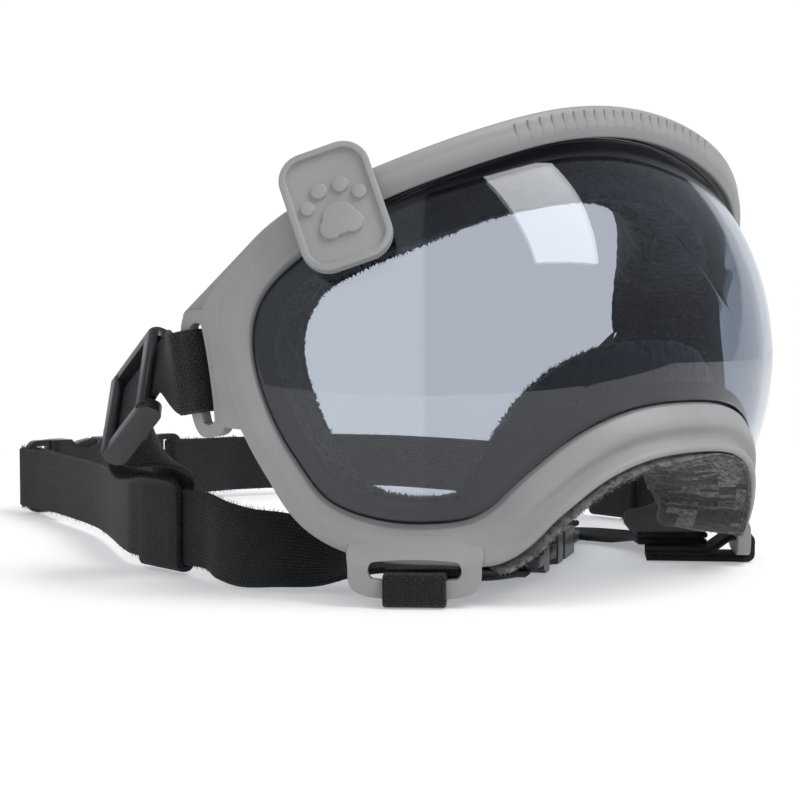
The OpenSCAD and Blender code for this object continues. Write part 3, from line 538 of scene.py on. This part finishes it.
for side, tag in ((1, "r"), (-1, "l")):
    outward, sideways = cheek_ways(side)
    slotted_loop("cheek_loop_" + tag, rounded_box(31.5, 6.75, 8.0, 3.6, 3.0), 22, 5.2,
        outward * CHEEK_R + Vector((0, 0, CHEEK_Z)), sideways, Vector((0, 0, 1)), 3.6, -0.15, tuck=1.0)
    middle, up, back, out = temple_axes(side)
    slotted_loop("temple_loop_" + tag, rounded_box(30.5, 6.25, 5.45, 3.4), 24.5, 4.5, middle, up, back, 3.4)
    temple_web(tag, middle, up, back, out)
    temple_blend(tag, side, middle, up, back, out)

# %% [markdown]
# ## The visor
# The visor has to reflect cleanly, so its points lie exactly on the doughnut shell.
# A closed grid runs from the middle of the front face out to the edge, round it,
# and back to the middle of the rear face, with more rings near the edge.
# %% Visor shell
RINGS, VISOR_FINE, POLE = 16, 6, 0.56 * RISE
VISOR_ROWS = STATIONS * VISOR_FINE
front = [(1 - (1 - k / RINGS) ** 1.6, 0.0) for k in range(RINGS + 1)]
profile = front[:-1] + [(0.998, 0.0), (1.0, -0.25), (1.0, -VISOR_T + 0.25), (0.998, -VISOR_T)] + \
    [(f, -VISOR_T) for f, _ in reversed(front[:-1])]


def visor_point(i, j):
    q = rim_at(i % VISOR_ROWS / VISOR_FINE)
    share, out = profile[j]
    return stand(skin(q.s * share, POLE + (q.t - POLE) * share, out))


visor = bent_grid("visor_shell", VISOR_ROWS, len(profile) - 1, visor_point, smoke, ring=True)
dress(visor, "goggles", "visor", "visor")

# %% [markdown]
# ## The liner
# The liner is foam under fleece, in four lengths: brow, two cheeks and nose. Each
# fills the wall behind the visor and swells out towards the face. The same bent
# grid carries its section. Under the nose arch the fleece folds round the lip, and
# stands out further on the near side. Noise then pushes its skin in and out by
# about half a millimetre at most, as brushed fleece stands.
# %% Liner lengths
ARCH_STATION, LIT_FROM, LINER_FINE, ROUND_FINE, MEET = 16, 11.2, 12, 5, 0.2


def liner_section(u):
    q = rim_at(u)
    point, side, face, level = rim_axes(u)
    flare, deep, back, wall_end = radians(q.flare), WALL_D + q.deeper, VISOR_T + SEAT, WALL_OUT + q.wider
    inner, outer, foam, half_way = q.inner, q.outer, q.foam, (q.foam + WALL_D + q.deeper) / 2
    a = point + side * 0.8 - face * (back + WALL_T + 0.4)
    b = point + side * (wall_end - WALL_T) - face * 2 + level * deep
    run = (b - a).normalized()
    turn = -(side - run * side.dot(run)).normalized()

    def at(i, c):
        return point + side * i - face * 2 + level * c

    def band(i, j):
        return on_band(q, point, side, face, i, j)

    lip = q.over + q.wide * cos(flare)
    wall_top = q.over + (q.wide - 3.2) * cos(flare) + (BAND_T + 1) * sin(flare)
    wall_from = -2 - q.proud - (q.wide - 3.2) * sin(flare) + (BAND_T + 1) * cos(flare)
    beside = wall_top + (wall_end - wall_top) * (1.5 - wall_from) / (deep - wall_from)
    from_nose = abs(u % STATIONS - ARCH_STATION)
    cover, stands_out = clamp((5.0 - from_nose) / 0.8), clamp((4.9 - from_nose) / 0.8)
    edge = max(lip, wall_top) + 1.2 + 2.2 * stands_out
    near_side = clamp((17.0 - u % STATIONS) / 1.5, 0.25, 1)
    round_wall = [band(q.wide + 2.4 * stands_out * near_side, -2.2), band(q.wide - 0.9, -BAND_T - 1.2),
        at(beside + 0.45, 1.5), at(wall_end + 0.9, deep - 1)]
    closed = [at(outer - 0.6, deep + 0.9).lerp(at(wall_end + 0.5, deep + 0.4), k / 4) for k in range(4)]
    fold = [shut.lerp(folded, cover) for shut, folded in zip(closed, round_wall)]
    flank = at(outer, half_way + 0.5).lerp(at(max(outer, edge + 0.8), half_way - 3), cover)
    made = [a + run * 1.2 + turn * 0.4, a + run * 1.8 + turn * (1.6 + 0.16 * max(-inner, 0)),
        at(inner, min(12, foam - 9)), at(inner, foam - 6), at(inner + 0.8, foam - 2.4),
        at(inner + 3, foam - 0.4), at((inner + outer) / 2, foam), at(outer - 2.6, foam - 0.8),
        at(outer - 0.6, foam - 3), flank]
    made += fold + [at(wall_end + 0.5, deep + 0.4), b + run * 0.4 + turn * 0.4]
    return [stand(p) for p in made]


def rounded(section, fine):
    finer = []
    for i in range(len(section)):
        near = [section[(i + k) % len(section)] for k in (-1, 0, 1, 2)]
        finer += [between(*near, j / fine) for j in range(fine)]
    return finer


def liner_length(name, first, last):
    rows = ceil((last - first) * LINER_FINE)
    lit_rows = [(u - first) * LINER_FINE for u in (LIT_FROM, STATIONS - LIT_FROM)]
    made = [rounded(liner_section(first + (last - first) * i / rows), ROUND_FINE) for i in range(rows + 1)]
    count = len(made[0])
    # Columns 48 to 60 over the nose arch take the paler fleece, painted light; the rest is the darker fleece,
    # painted shade.
    piece = bent_grid(name, rows, count, lambda i, j: made[i][j % count], fleece,
        lining=Lining(lit_fleece, (48, 60), lit_rows, 7))
    mesh = bmesh.new()
    mesh.from_mesh(piece.data)
    bmesh.ops.subdivide_edges(mesh, edges=mesh.edges[:], cuts=1, use_grid_fill=True)
    mesh.normal_update()
    for vert in mesh.verts:
        push = noise.fractal(vert.co * 420, 1.0, 2.0, 3) + 0.5 * noise.noise(vert.co * 1100)
        vert.co += vert.normal * 0.0003 * (push - 0.4)
    mesh.to_mesh(piece.data)
    mesh.free()
    piece.data.shade_smooth()
    dress(piece, "goggles", "fleece", name.replace("fleece", "liner"))


liner_length("fleece_brow", STATIONS - 6.5 - MEET, STATIONS + 6.5 + MEET)
liner_length("fleece_cheek_r", 6.5, 12.84)
liner_length("fleece_cheek_l", STATIONS - 12.84, STATIONS - 6.5)
liner_length("fleece_nose", 12.84 - MEET, 19.16 + MEET)

# %% [markdown]
# ## Fibres at the fleece's edge
# Brushed fleece has a ragged outline where it meets the light. Some fourteen thousand
# thin three-sided cones, 0.6 to 1.9 mm long, stand on its inner edge and under the nose
# arch, and the loose ones under the arch are painted paler, a painted highlight where
# light catches them. Their lean and length are random, with a fixed seed. They are made
# in batches of sixty, which is quick, and a last batch that isn't full is left out.
# %% Fleece fibres
BATCH, TABLE_FINE = 60, 50


def fibres(name, node, places, seed, thick, finish, slot="fleece"):
    dice = random.Random(seed)
    mesh, batch, cones = bpy.data.meshes.new(name + "_batch"), bmesh.new(), bmesh.new()
    for n, (point, outward, along) in enumerate(places):
        lean = (outward + along * dice.uniform(-1, 1) + Vector((0, 0, dice.uniform(-0.5, 0.5)))).normalized()
        long = dice.uniform(0.6, 1.9)
        turn = lean.to_track_quat("Z", "Y").to_matrix().to_4x4()
        spot = Matrix.Translation((point + lean * (long / 2 - 0.4)) / 1000)
        bmesh.ops.create_cone(batch, segments=3, radius1=thick / 1000, radius2=0.00002, depth=long / 1000,
            matrix=spot @ turn)
        if n % BATCH == BATCH - 1:
            batch.to_mesh(mesh)
            cones.from_mesh(mesh)
            batch.clear()
    batch.free()
    bpy.data.meshes.remove(mesh)
    dress(to_piece(name, cones, finish), "goggles", slot, node)


liner_table = [liner_section(n / TABLE_FINE) for n in range(STATIONS * TABLE_FINE)]


def edge_spots(first, last, count, seed, corners, tip, root):
    dice = random.Random(seed)
    for n in range(count):
        u = floor((first + (last - first) * n / count) * TABLE_FINE)
        made, ahead = liner_table[u % len(liner_table)], liner_table[(u + 1) % len(liner_table)]
        k = dice.choice(corners)
        point = made[k].lerp(made[k + 1], dice.random())
        yield point, (made[tip] - made[root]).normalized(), (ahead[tip] - made[tip]).normalized()


def inner_fibres(tag, first, last, count, seed):
    spots = edge_spots(first, last, count, seed, (1, 2, 2, 3, 3, 4), 3, 8)
    fibres("fibres_" + tag, "liner_" + tag, spots, seed + 1, 0.28, fleece)


inner_fibres("brow", STATIONS - 6.5, STATIONS + 6.5, 3000, 3)
inner_fibres("cheek_r", 6.5, 12.8, 1500, 5)
inner_fibres("cheek_l", STATIONS - 12.8, STATIONS - 6.5, 1500, 7)
inner_fibres("nose", 12.85, 19.15, 1200, 9)
# The arch's fibres take the paler fibre finish, a painted highlight.
arch_spots = edge_spots(11.8, 20.2, 7000, 11, (8, 9, 9, 10, 10, 10, 10), 10, 14)
fibres("fibres_arch", "liner_nose", arch_spots, 12, 0.16, lit_fibre)

# %% [markdown]
# ## Ribbons of webbing
# A strap is one ribbon that follows stations: a point and the way its width points.
# Its section is a thin rectangle with round selvedges. Its UV map counts
# millimetres along and across, so that the weave runs true round every bend, and
# the underside's part of the map stands 40 mm off the upper side's.
# %% Ribbon
WEB_W, WEB_T, RIBBON_FINE, UNDERSIDE = 20.0, 1.6, 6, 40


def path_at(points, u, values=None):
    points = [Vector(p) for p in points]
    values = [Vector(v) for v in values] if values else points
    i = min(floor(u), len(points) - 2)
    k, last = u - i, len(points) - 1

    def slope(n):
        a, b = max(n - 1, 0), min(n + 1, last)
        return (values[b] - values[a]) / ((points[b] - points[n]).length + (points[n] - points[a]).length)

    ease, far = k * k * (3 - 2 * k), (points[i + 1] - points[i]).length * k * (1 - k)
    return values[i] * (1 - ease) + values[i + 1] * ease + (slope(i) * (1 - k) - slope(i + 1) * k) * far


def ribbon(name, stations, node, wide=WEB_W):
    points, widths = [s[0] for s in stations], [Vector(s[1]).normalized() for s in stations]
    last = len(stations) - 1
    rows, w, t = last * RIBBON_FINE, wide / 2, WEB_T / 2
    upper = [(-w, 0), (-w + 0.12, t * 0.7), (-w + 0.6, t), (-w / 2, t), (0, t), (w / 2, t), (w - 0.6, t),
        (w - 0.12, t * 0.7), (w, 0)]
    section = upper + [(a, -b) for a, b in upper[-2:0:-1]]
    count = len(section)
    made, far = [], [0.0]
    for i in range(rows + 1):
        u = i / RIBBON_FINE
        point = path_at(points, u)
        run = (path_at(points, min(u + 0.05, last)) - path_at(points, max(u - 0.05, 0))).normalized()
        across = path_at(points, u, widths).normalized()
        rise = run.cross(across).normalized()
        made.append([point + across * a + rise * b for a, b in section])
        if i:
            far.append(far[-1] + (point - before).length)
        before = point

    def uv_at(i, j):
        return far[round(i)], section[round(j) % count][0] + (0 if j < len(upper) - 0.5 else UNDERSIDE)

    piece = bent_grid(name, rows, count, lambda i, j: made[i][j % count], webbing, uv_at=uv_at)
    dress(piece, "goggles", "webbing", node)


# %% [markdown]
# ## Upper straps
# Each upper strap starts at the temple loop, folds round its bar, goes back through
# the adjuster, passes under the neck strap and comes up again on the inside, where
# it is sewn to itself under the adjuster.
# %% Upper straps
GAP = 0.35
WRAP = GAP + WEB_T / 2
STRAP_Z = WEB_W / 2 + WEB_T + GAP + 0.65
LAYER = WEB_T + GAP
slot_mid, slot_up, slot_back, slot_out = temple_axes(1)
bar_mid = slot_mid + slot_back * (4.5 + 3.2) / 2
slider_mid, slider_run = Vector((-92.3, 6.5, 48)), Vector((-0.03, 0.79, -0.61)).normalized()
slider_side = Vector((-0.46, -0.53, -0.71))
slider_side = (slider_side - slider_run * slider_side.dot(slider_run)).normalized()
slider_out = slider_run.cross(slider_side)


def upper_strap(neck_x, down, up, side):
    low = STRAP_Z - WEB_W / 2 - WRAP
    bar_b, bar_n = 1.6 + WRAP, 1.7 + WRAP
    rows = [(bar_mid + slot_back * b + slot_out * n + slot_up * 0.95, slot_up) for b, n in (
        (7.5, -1.4), (5.2, -2.4), (3, -bar_n), (0, -bar_n), (-0.88 * bar_b, -0.86 * bar_n), (-bar_b, 0),
        (-0.88 * bar_b, 0.86 * bar_n), (0, bar_n), (3, bar_n))]
    rows += [(slider_mid + slider_run * a, -slider_side) for a in (-14.3, -8, 0, 8, 14.3)]
    rows += [(down[0], (0.3, 0.8, 0.5)), (down[1], (0.1, 0.98, 0.15))]
    rows += [((neck_x + a * LAYER, 22, z), (0, 1, 0)) for a, z in (
        (-1.5, 24.5), (-1.05, 19), (-1, 12), (-1, low + 2.6), (-0.77, low + 0.45), (0, low),
        (0.77, low + 0.45), (1, low + 2.6), (1, 12), (1.05, 19), (1.3, 24.5))]
    rows += [(up[0], (0.1, 0.98, 0.15)), (up[1], (0.32, 0.78, 0.53))]
    rows += [(slider_mid + slider_run * a + slider_out * n, -slider_side)
        for a, n in ((15, -5), (9.6, -2.05), (5.4, -LAYER))]
    return [((p[0] * side, p[1], p[2]), (w[0] * side, w[1], w[2])) for p, w in rows]


for tag, side, neck_x, down, up in (
        ("r", 1, -74.6, ((-92, 20.5, 32), (-86, 22, 28.5)), ((-75.5, 19.5, 29.5), (-81.5, 16.5, 35))),
        ("l", -1, -103.3, ((-97.4, 20.7, 32.1), (-103.5, 21.7, 28.5)), ((-99, 19.5, 29.5), (-94.5, 17, 34)))):
    ribbon("upper_webbing_" + tag, upper_strap(neck_x, down, up, side), "upper_strap_" + tag)

# %% [markdown]
# ## Lower loops, neck strap and chin strap
# A short length of webbing is sewn round each cheek loop's bar. The neck strap and
# the chin strap start on its tail. The neck strap then turns on edge and goes round
# behind, and the chin strap lies flat, each to its buckle.
# %% Lower loops and long straps
CHEEK_WEB_W = 15
CHEEK_RUN = ((-26, 0.8), (-17, 0.8), (-9, 0.8), (-2, 0.8), (1.6, 0.82), (2.65, 1.35), (2.95, 2.3),
    (2.95, 4.2), (2.95, 6.1), (2.55, 6.8), (1.7, 7.1), (-0.6, 7.1), (-2.9, 6.75), (-6, 4.6), (-9.4, 2.5),
    (-17, 2.4), (-26, 2.4))
for side, tag in ((1, "r"), (-1, "l")):
    outward, sideways = cheek_ways(side)
    stations = [(outward * (CHEEK_R + c) + Vector((0, 0, z)), sideways * side) for c, z in CHEEK_RUN]
    ribbon("cheek_webbing_" + tag, stations, "lower_loop_" + tag, CHEEK_WEB_W)
BUCKLE_L, BAR = 62.0, 3.0
TAIL_Z = 2 * WEB_T + GAP + WEB_T / 2
NECK_Z = TAIL_Z + LAYER
bar_wrap = BAR / 2 + WRAP
x, y = -40 + BAR / 2, 165
neck_right = [((-51, -57.5, NECK_Z), (0.75, -0.66, 0)), ((-46.5, -51, NECK_Z), (0.96, -0.28, 0)),
    ((-46.5, -43, NECK_Z + 0.1), (0.97, 0.22, 0.05)), ((-52, -34, NECK_Z + 0.8), (0.75, 0.6, 0.25)),
    ((-60, -27.5, STRAP_Z - 4.5), (0.55, 0.5, 0.62)), ((-68.5, -23, STRAP_Z - 2.8), (0.4, 0.35, 0.85)),
    ((-74, -15, STRAP_Z - 2.6), (0.28, 0.12, 0.95)), ((-75.6, -6, STRAP_Z - 1.4), (0.12, 0, 0.99))]
neck_right += [((a, b, STRAP_Z), (0, 0, 1)) for a, b in (
    (-74.6, 2), (-74.6, 11), (-74.6, 22), (-74.6, 33), (-73.6, 42), (-54, 91), (-45.6, 125),
    (x - bar_wrap - 0.6, 150), (x - bar_wrap, y - 3), (x - bar_wrap, y),
    (x - 0.87 * bar_wrap, y + 0.87 * bar_wrap), (x, y + bar_wrap), (x + 0.87 * bar_wrap, y + 0.87 * bar_wrap),
    (x + bar_wrap, y), (x + bar_wrap, y - 3), (x - 0.4, 150.5), (x - 3.2, 138))]
ribbon("neck_webbing_r", neck_right, "neck_strap_r")
x = -40 + BUCKLE_L - BAR / 2
neck_left = [((a, b, STRAP_Z), (0, 0, 1)) for a, b in (
    (x + 27, y - 2.6 + LAYER), (x + 14, y + 0.2), (x + 3, y + bar_wrap), (x, y + bar_wrap),
    (x - 0.87 * bar_wrap, y + 0.87 * bar_wrap), (x - bar_wrap, y), (x - 0.87 * bar_wrap, y - 0.87 * bar_wrap),
    (x, y - bar_wrap), (x + 3, y - bar_wrap), (x + 14, y - 2.2), (x + 27, y - 2.6), (70, 153), (92, 125),
    (101, 80), (103.3, 42), (103.3, 33), (103.3, 22), (103.3, 11), (103, 3))]
neck_left += [((100, -3, STRAP_Z - 0.6), (0.07, -0.24, 0.97)), ((93, -8, 10.6), (0.29, -0.65, 0.7)),
    ((84, -14, 8.4), (0.56, -0.81, 0.17)), ((71, -24, NECK_Z + 0.6), (0.67, -0.73, 0.02)),
    ((58, -38, NECK_Z), (0.75, -0.66, 0)), ((48, -50, NECK_Z), (0.77, -0.64, 0))]
ribbon("neck_webbing_l", neck_left, "neck_strap_l")
CHIN_TURN = radians(33)


def at_chin(a, h):
    return Vector((-16 + a * cos(CHIN_TURN), -42.8 + a * sin(CHIN_TURN), 4 + h))


chin_wide = (-sin(CHIN_TURN), cos(CHIN_TURN), 0)
chin_right = [((-47.5, -51.5, TAIL_Z), (0.15, 0.99, 0)), ((-41, -52.4, TAIL_Z + 0.1), (0, 1, 0)),
    ((-34, -52, 3.8), (-0.17, 0.98, 0))]
chin_right += [(at_chin(BAR / 2 + a, h), chin_wide) for a, h in (
    (-12, -1.3), (-3, -bar_wrap), (0, -bar_wrap), (0.87 * bar_wrap, -0.87 * bar_wrap), (bar_wrap, 0),
    (0.87 * bar_wrap, 0.87 * bar_wrap), (0, bar_wrap), (-3, bar_wrap), (-10, 1.9), (-14, 1))]
ribbon("chin_webbing_r", chin_right, "chin_strap_r")
chin_left = [(at_chin(BUCKLE_L - BAR / 2 + a, h), chin_wide) for a, h in (
    (12, 2), (9, 2), (3, bar_wrap), (0, bar_wrap), (-0.87 * bar_wrap, 0.87 * bar_wrap), (-bar_wrap, 0),
    (-0.87 * bar_wrap, -0.87 * bar_wrap), (0, -bar_wrap), (3, -bar_wrap), (8, -2.2))]
chin_left += [((48.8, -3.4, 1.8), (0, 1, 0)), ((57, -7, 1.7), (0.71, 0.71, 0)),
    ((60.6, -15.6, 1.6), (1, 0, 0)), ((60, -26, 2.1), (0.99, -0.14, 0)), ((57.5, -35, 3.9), (0.94, -0.34, 0)),
    ((53, -43, TAIL_Z + 0.1), (0.83, -0.56, 0)), ((48.5, -49.5, TAIL_Z), (0.8, -0.6, 0))]
ribbon("chin_webbing_l", chin_left, "chin_strap_l")

# %% [markdown]
# ## Lint on the selvedges
# The neck strap has been worn, and its selvedges have frayed a little. The same thin
# cones stand out from them, at random places along both edges, but not so low that
# they would reach the table.
# %% Selvedge lint
LINT_ABOVE = 2.5
lint_finish = strand_finish("black_nylon_lint", "#262629", 0.2, "#151517", "#38383c")


def selvedge(stations, count, seed):
    dice = random.Random(seed)
    points, widths = [s[0] for s in stations], [Vector(s[1]).normalized() for s in stations]
    for n in range(count):
        u = (n + 0.5) / count * (len(stations) - 1)
        edge = path_at(points, u, widths).normalized() * dice.choice((-1, 1))
        run = path_at(points, min(u + 0.05, len(stations) - 1)) - path_at(points, u)
        spot = path_at(points, u) + edge * (WEB_W / 2 - 0.1)
        if spot.z > LINT_ABOVE:
            yield spot, edge, run.normalized()


fibres("neck_lint_r", "neck_strap_r", selvedge(neck_right, 900, 21), 22, 0.13, lint_finish, "webbing")
fibres("neck_lint_l", "neck_strap_l", selvedge(neck_left, 900, 23), 24, 0.13, lint_finish, "webbing")

# %% [markdown]
# ## Moulded hardware
# The buckles' halves, their prongs, the adjusters and the badge are exact solids
# already. A moulding has no sharp edges, so each is copied, its loose triangles are
# merged into whole faces, and a bevel of a third of a millimetre goes on its edges.
# %% Softened copies
def softened(node, body, slot, material, edge):
    mesh = bmesh.new()
    mesh.from_mesh(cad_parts[node].data)
    bmesh.ops.remove_doubles(mesh, verts=mesh.verts, dist=5e-6)
    bmesh.ops.dissolve_limit(mesh, angle_limit=radians(0.5), verts=mesh.verts, edges=mesh.edges)
    dress(to_piece(node + "_moulded", mesh, material, bevel=edge), body, slot, node)


for node in ("neck_socket", "neck_plug", "chin_socket", "chin_plug"):
    softened(node, "goggles", "nylon", acetal, 0.0003)
for node in ("upper_slider_r", "upper_slider_l", "neck_prong_top", "neck_prong_low", "chin_prong_front",
        "chin_prong_back"):
    softened(node, node, "nylon", acetal, 0.0003)
softened("badge", "goggles", "badge", tpu, 0.00035)

# %% [markdown]
# ## Table, light and background
# The goggles stand on a white table whose near edge is just out of view. A large
# soft lamp hangs above and in front: it is the pale patch in the visor. The rest is
# light from all round. The room behind the camera is dark, and the visor shows it
# above the table's edge. A grey wall stands to the left, and a white one behind.
# %% Stage
TABLE_HALF, TABLE_EDGE, TABLE_Z = 2.0, 0.305, -0.0002


def seen_by(tree, *rays):
    path = add_node(tree, "LightPath").outputs
    seen = path["Is " + rays[0] + " Ray"]
    for ray in rays[1:]:
        either = add_node(tree, "Math", {0: seen, 1: path["Is " + ray + " Ray"]}, operation="MAXIMUM")
        seen = either.outputs[0]
    return seen


paper = bpy.data.materials.new("white_table")
paper.use_nodes = True
tree = paper.node_tree
tree.nodes.clear()
matt = add_node(tree, "BsdfDiffuse", {"Color": (0.76, 0.75, 0.74, 1)})
seen = seen_by(tree, "Camera", "Glossy", "Transmission")
lift = add_node(tree, "Math", {0: seen, 1: 0.33}, operation="MULTIPLY")
glow = add_node(tree, "Emission", {"Color": (0.93, 0.96, 1, 1), "Strength": lift.outputs[0]})
both = add_node(tree, "AddShader", {0: matt.outputs[0], 1: glow.outputs[0]})
spot = add_node(tree, "TexCoord").outputs["Object"]
reach = add_node(tree, "VectorMath", {0: spot}, operation="LENGTH").outputs["Value"]
away = add_node(tree, "MapRange", {"Value": reach, "From Min": 0.2, "From Max": 0.42},
    interpolation_type="SMOOTHSTEP")
faded = add_node(tree, "Math", {0: seen_by(tree, "Camera", "Transmission"), 1: away.outputs[0]},
    operation="MULTIPLY")
plain_white = add_node(tree, "Emission", {"Color": (1, 1, 1, 1), "Strength": 1.0})
ground = add_node(tree, "MixShader", {0: faded.outputs[0], 1: both.outputs[0], 2: plain_white.outputs[0]})
add_node(tree, "OutputMaterial", {"Surface": ground.outputs[0]})
mesh = bmesh.new()
bmesh.ops.create_grid(mesh, x_segments=2, y_segments=2, size=TABLE_HALF)
bmesh.ops.translate(mesh, verts=mesh.verts, vec=(0, TABLE_HALF - TABLE_EDGE, TABLE_Z))
bmesh.ops.rotate(mesh, verts=mesh.verts, cent=(0, 0, 0), matrix=Matrix.Rotation(-YAW, 3, "Z"))
to_piece("table_top", mesh, paper)

world = bpy.data.worlds.new("studio")
bpy.context.scene.world = world
world.use_nodes = True
tree = world.node_tree
tree.nodes.clear()
way = add_node(tree, "TexCoord").outputs["Generated"]


def ramp_along(direction, low, high, dim=0.0, bright=1.0):
    share = add_node(tree, "VectorMath", {0: way, 1: direction}, operation="DOT_PRODUCT").outputs["Value"]
    made = add_node(tree, "MapRange", {"Value": share, "From Min": low, "From Max": high, "To Min": dim,
        "To Max": bright})
    return made.outputs[0]


white_wall = ramp_along((0, 1, -1.16), -0.27, -0.21)
dim_room = ramp_along((-0.713, 0.7, 0), -0.01, 0.01, 0.02, 0.45)
growing = ramp_along(tuple(view_way), 0.3, 0.9, 0.45, 1.0)
behind = add_node(tree, "Mix", {0: white_wall, 2: dim_room, 3: growing}, data_type="FLOAT")
soft = add_node(tree, "Background", {"Color": (0.95, 0.98, 1, 1), "Strength": 0.7})
white = add_node(tree, "Background", {"Color": (1, 1, 1, 1), "Strength": 1.0})
mirror = add_node(tree, "Background", {"Color": (0.9, 0.95, 1, 1), "Strength": behind.outputs[0]})
first = add_node(tree, "MixShader", {0: seen_by(tree, "Glossy"), 1: soft.outputs[0], 2: mirror.outputs[0]})
second = add_node(tree, "MixShader", {0: seen_by(tree, "Camera", "Transmission"), 1: first.outputs[0],
    2: white.outputs[0]})
add_node(tree, "OutputWorld", {"Surface": second.outputs[0]})


def soft_lamp(name, high_end, low_end, wide, watts):
    data = bpy.data.lights.new(name, "AREA")
    high_end, low_end = Vector(high_end), Vector(low_end)
    along = (high_end - low_end).normalized()
    across = (Vector((1, 0, 0)) - along * along.x).normalized()
    data.shape, data.size, data.size_y, data.energy = "RECTANGLE", wide, (high_end - low_end).length, watts
    lamp = bpy.data.objects.new(name, data)
    lamp.location = (high_end + low_end) / 2
    lamp.rotation_euler = Matrix((across, along, across.cross(along))).transposed().to_euler()
    bpy.context.collection.objects.link(lamp)


soft_lamp("overhead_lamp", (0.393, -0.381, 1.786), (0.254, -1.498, 1.1), 0.654, 17)
bpy.context.scene.view_settings.view_transform = "Standard"
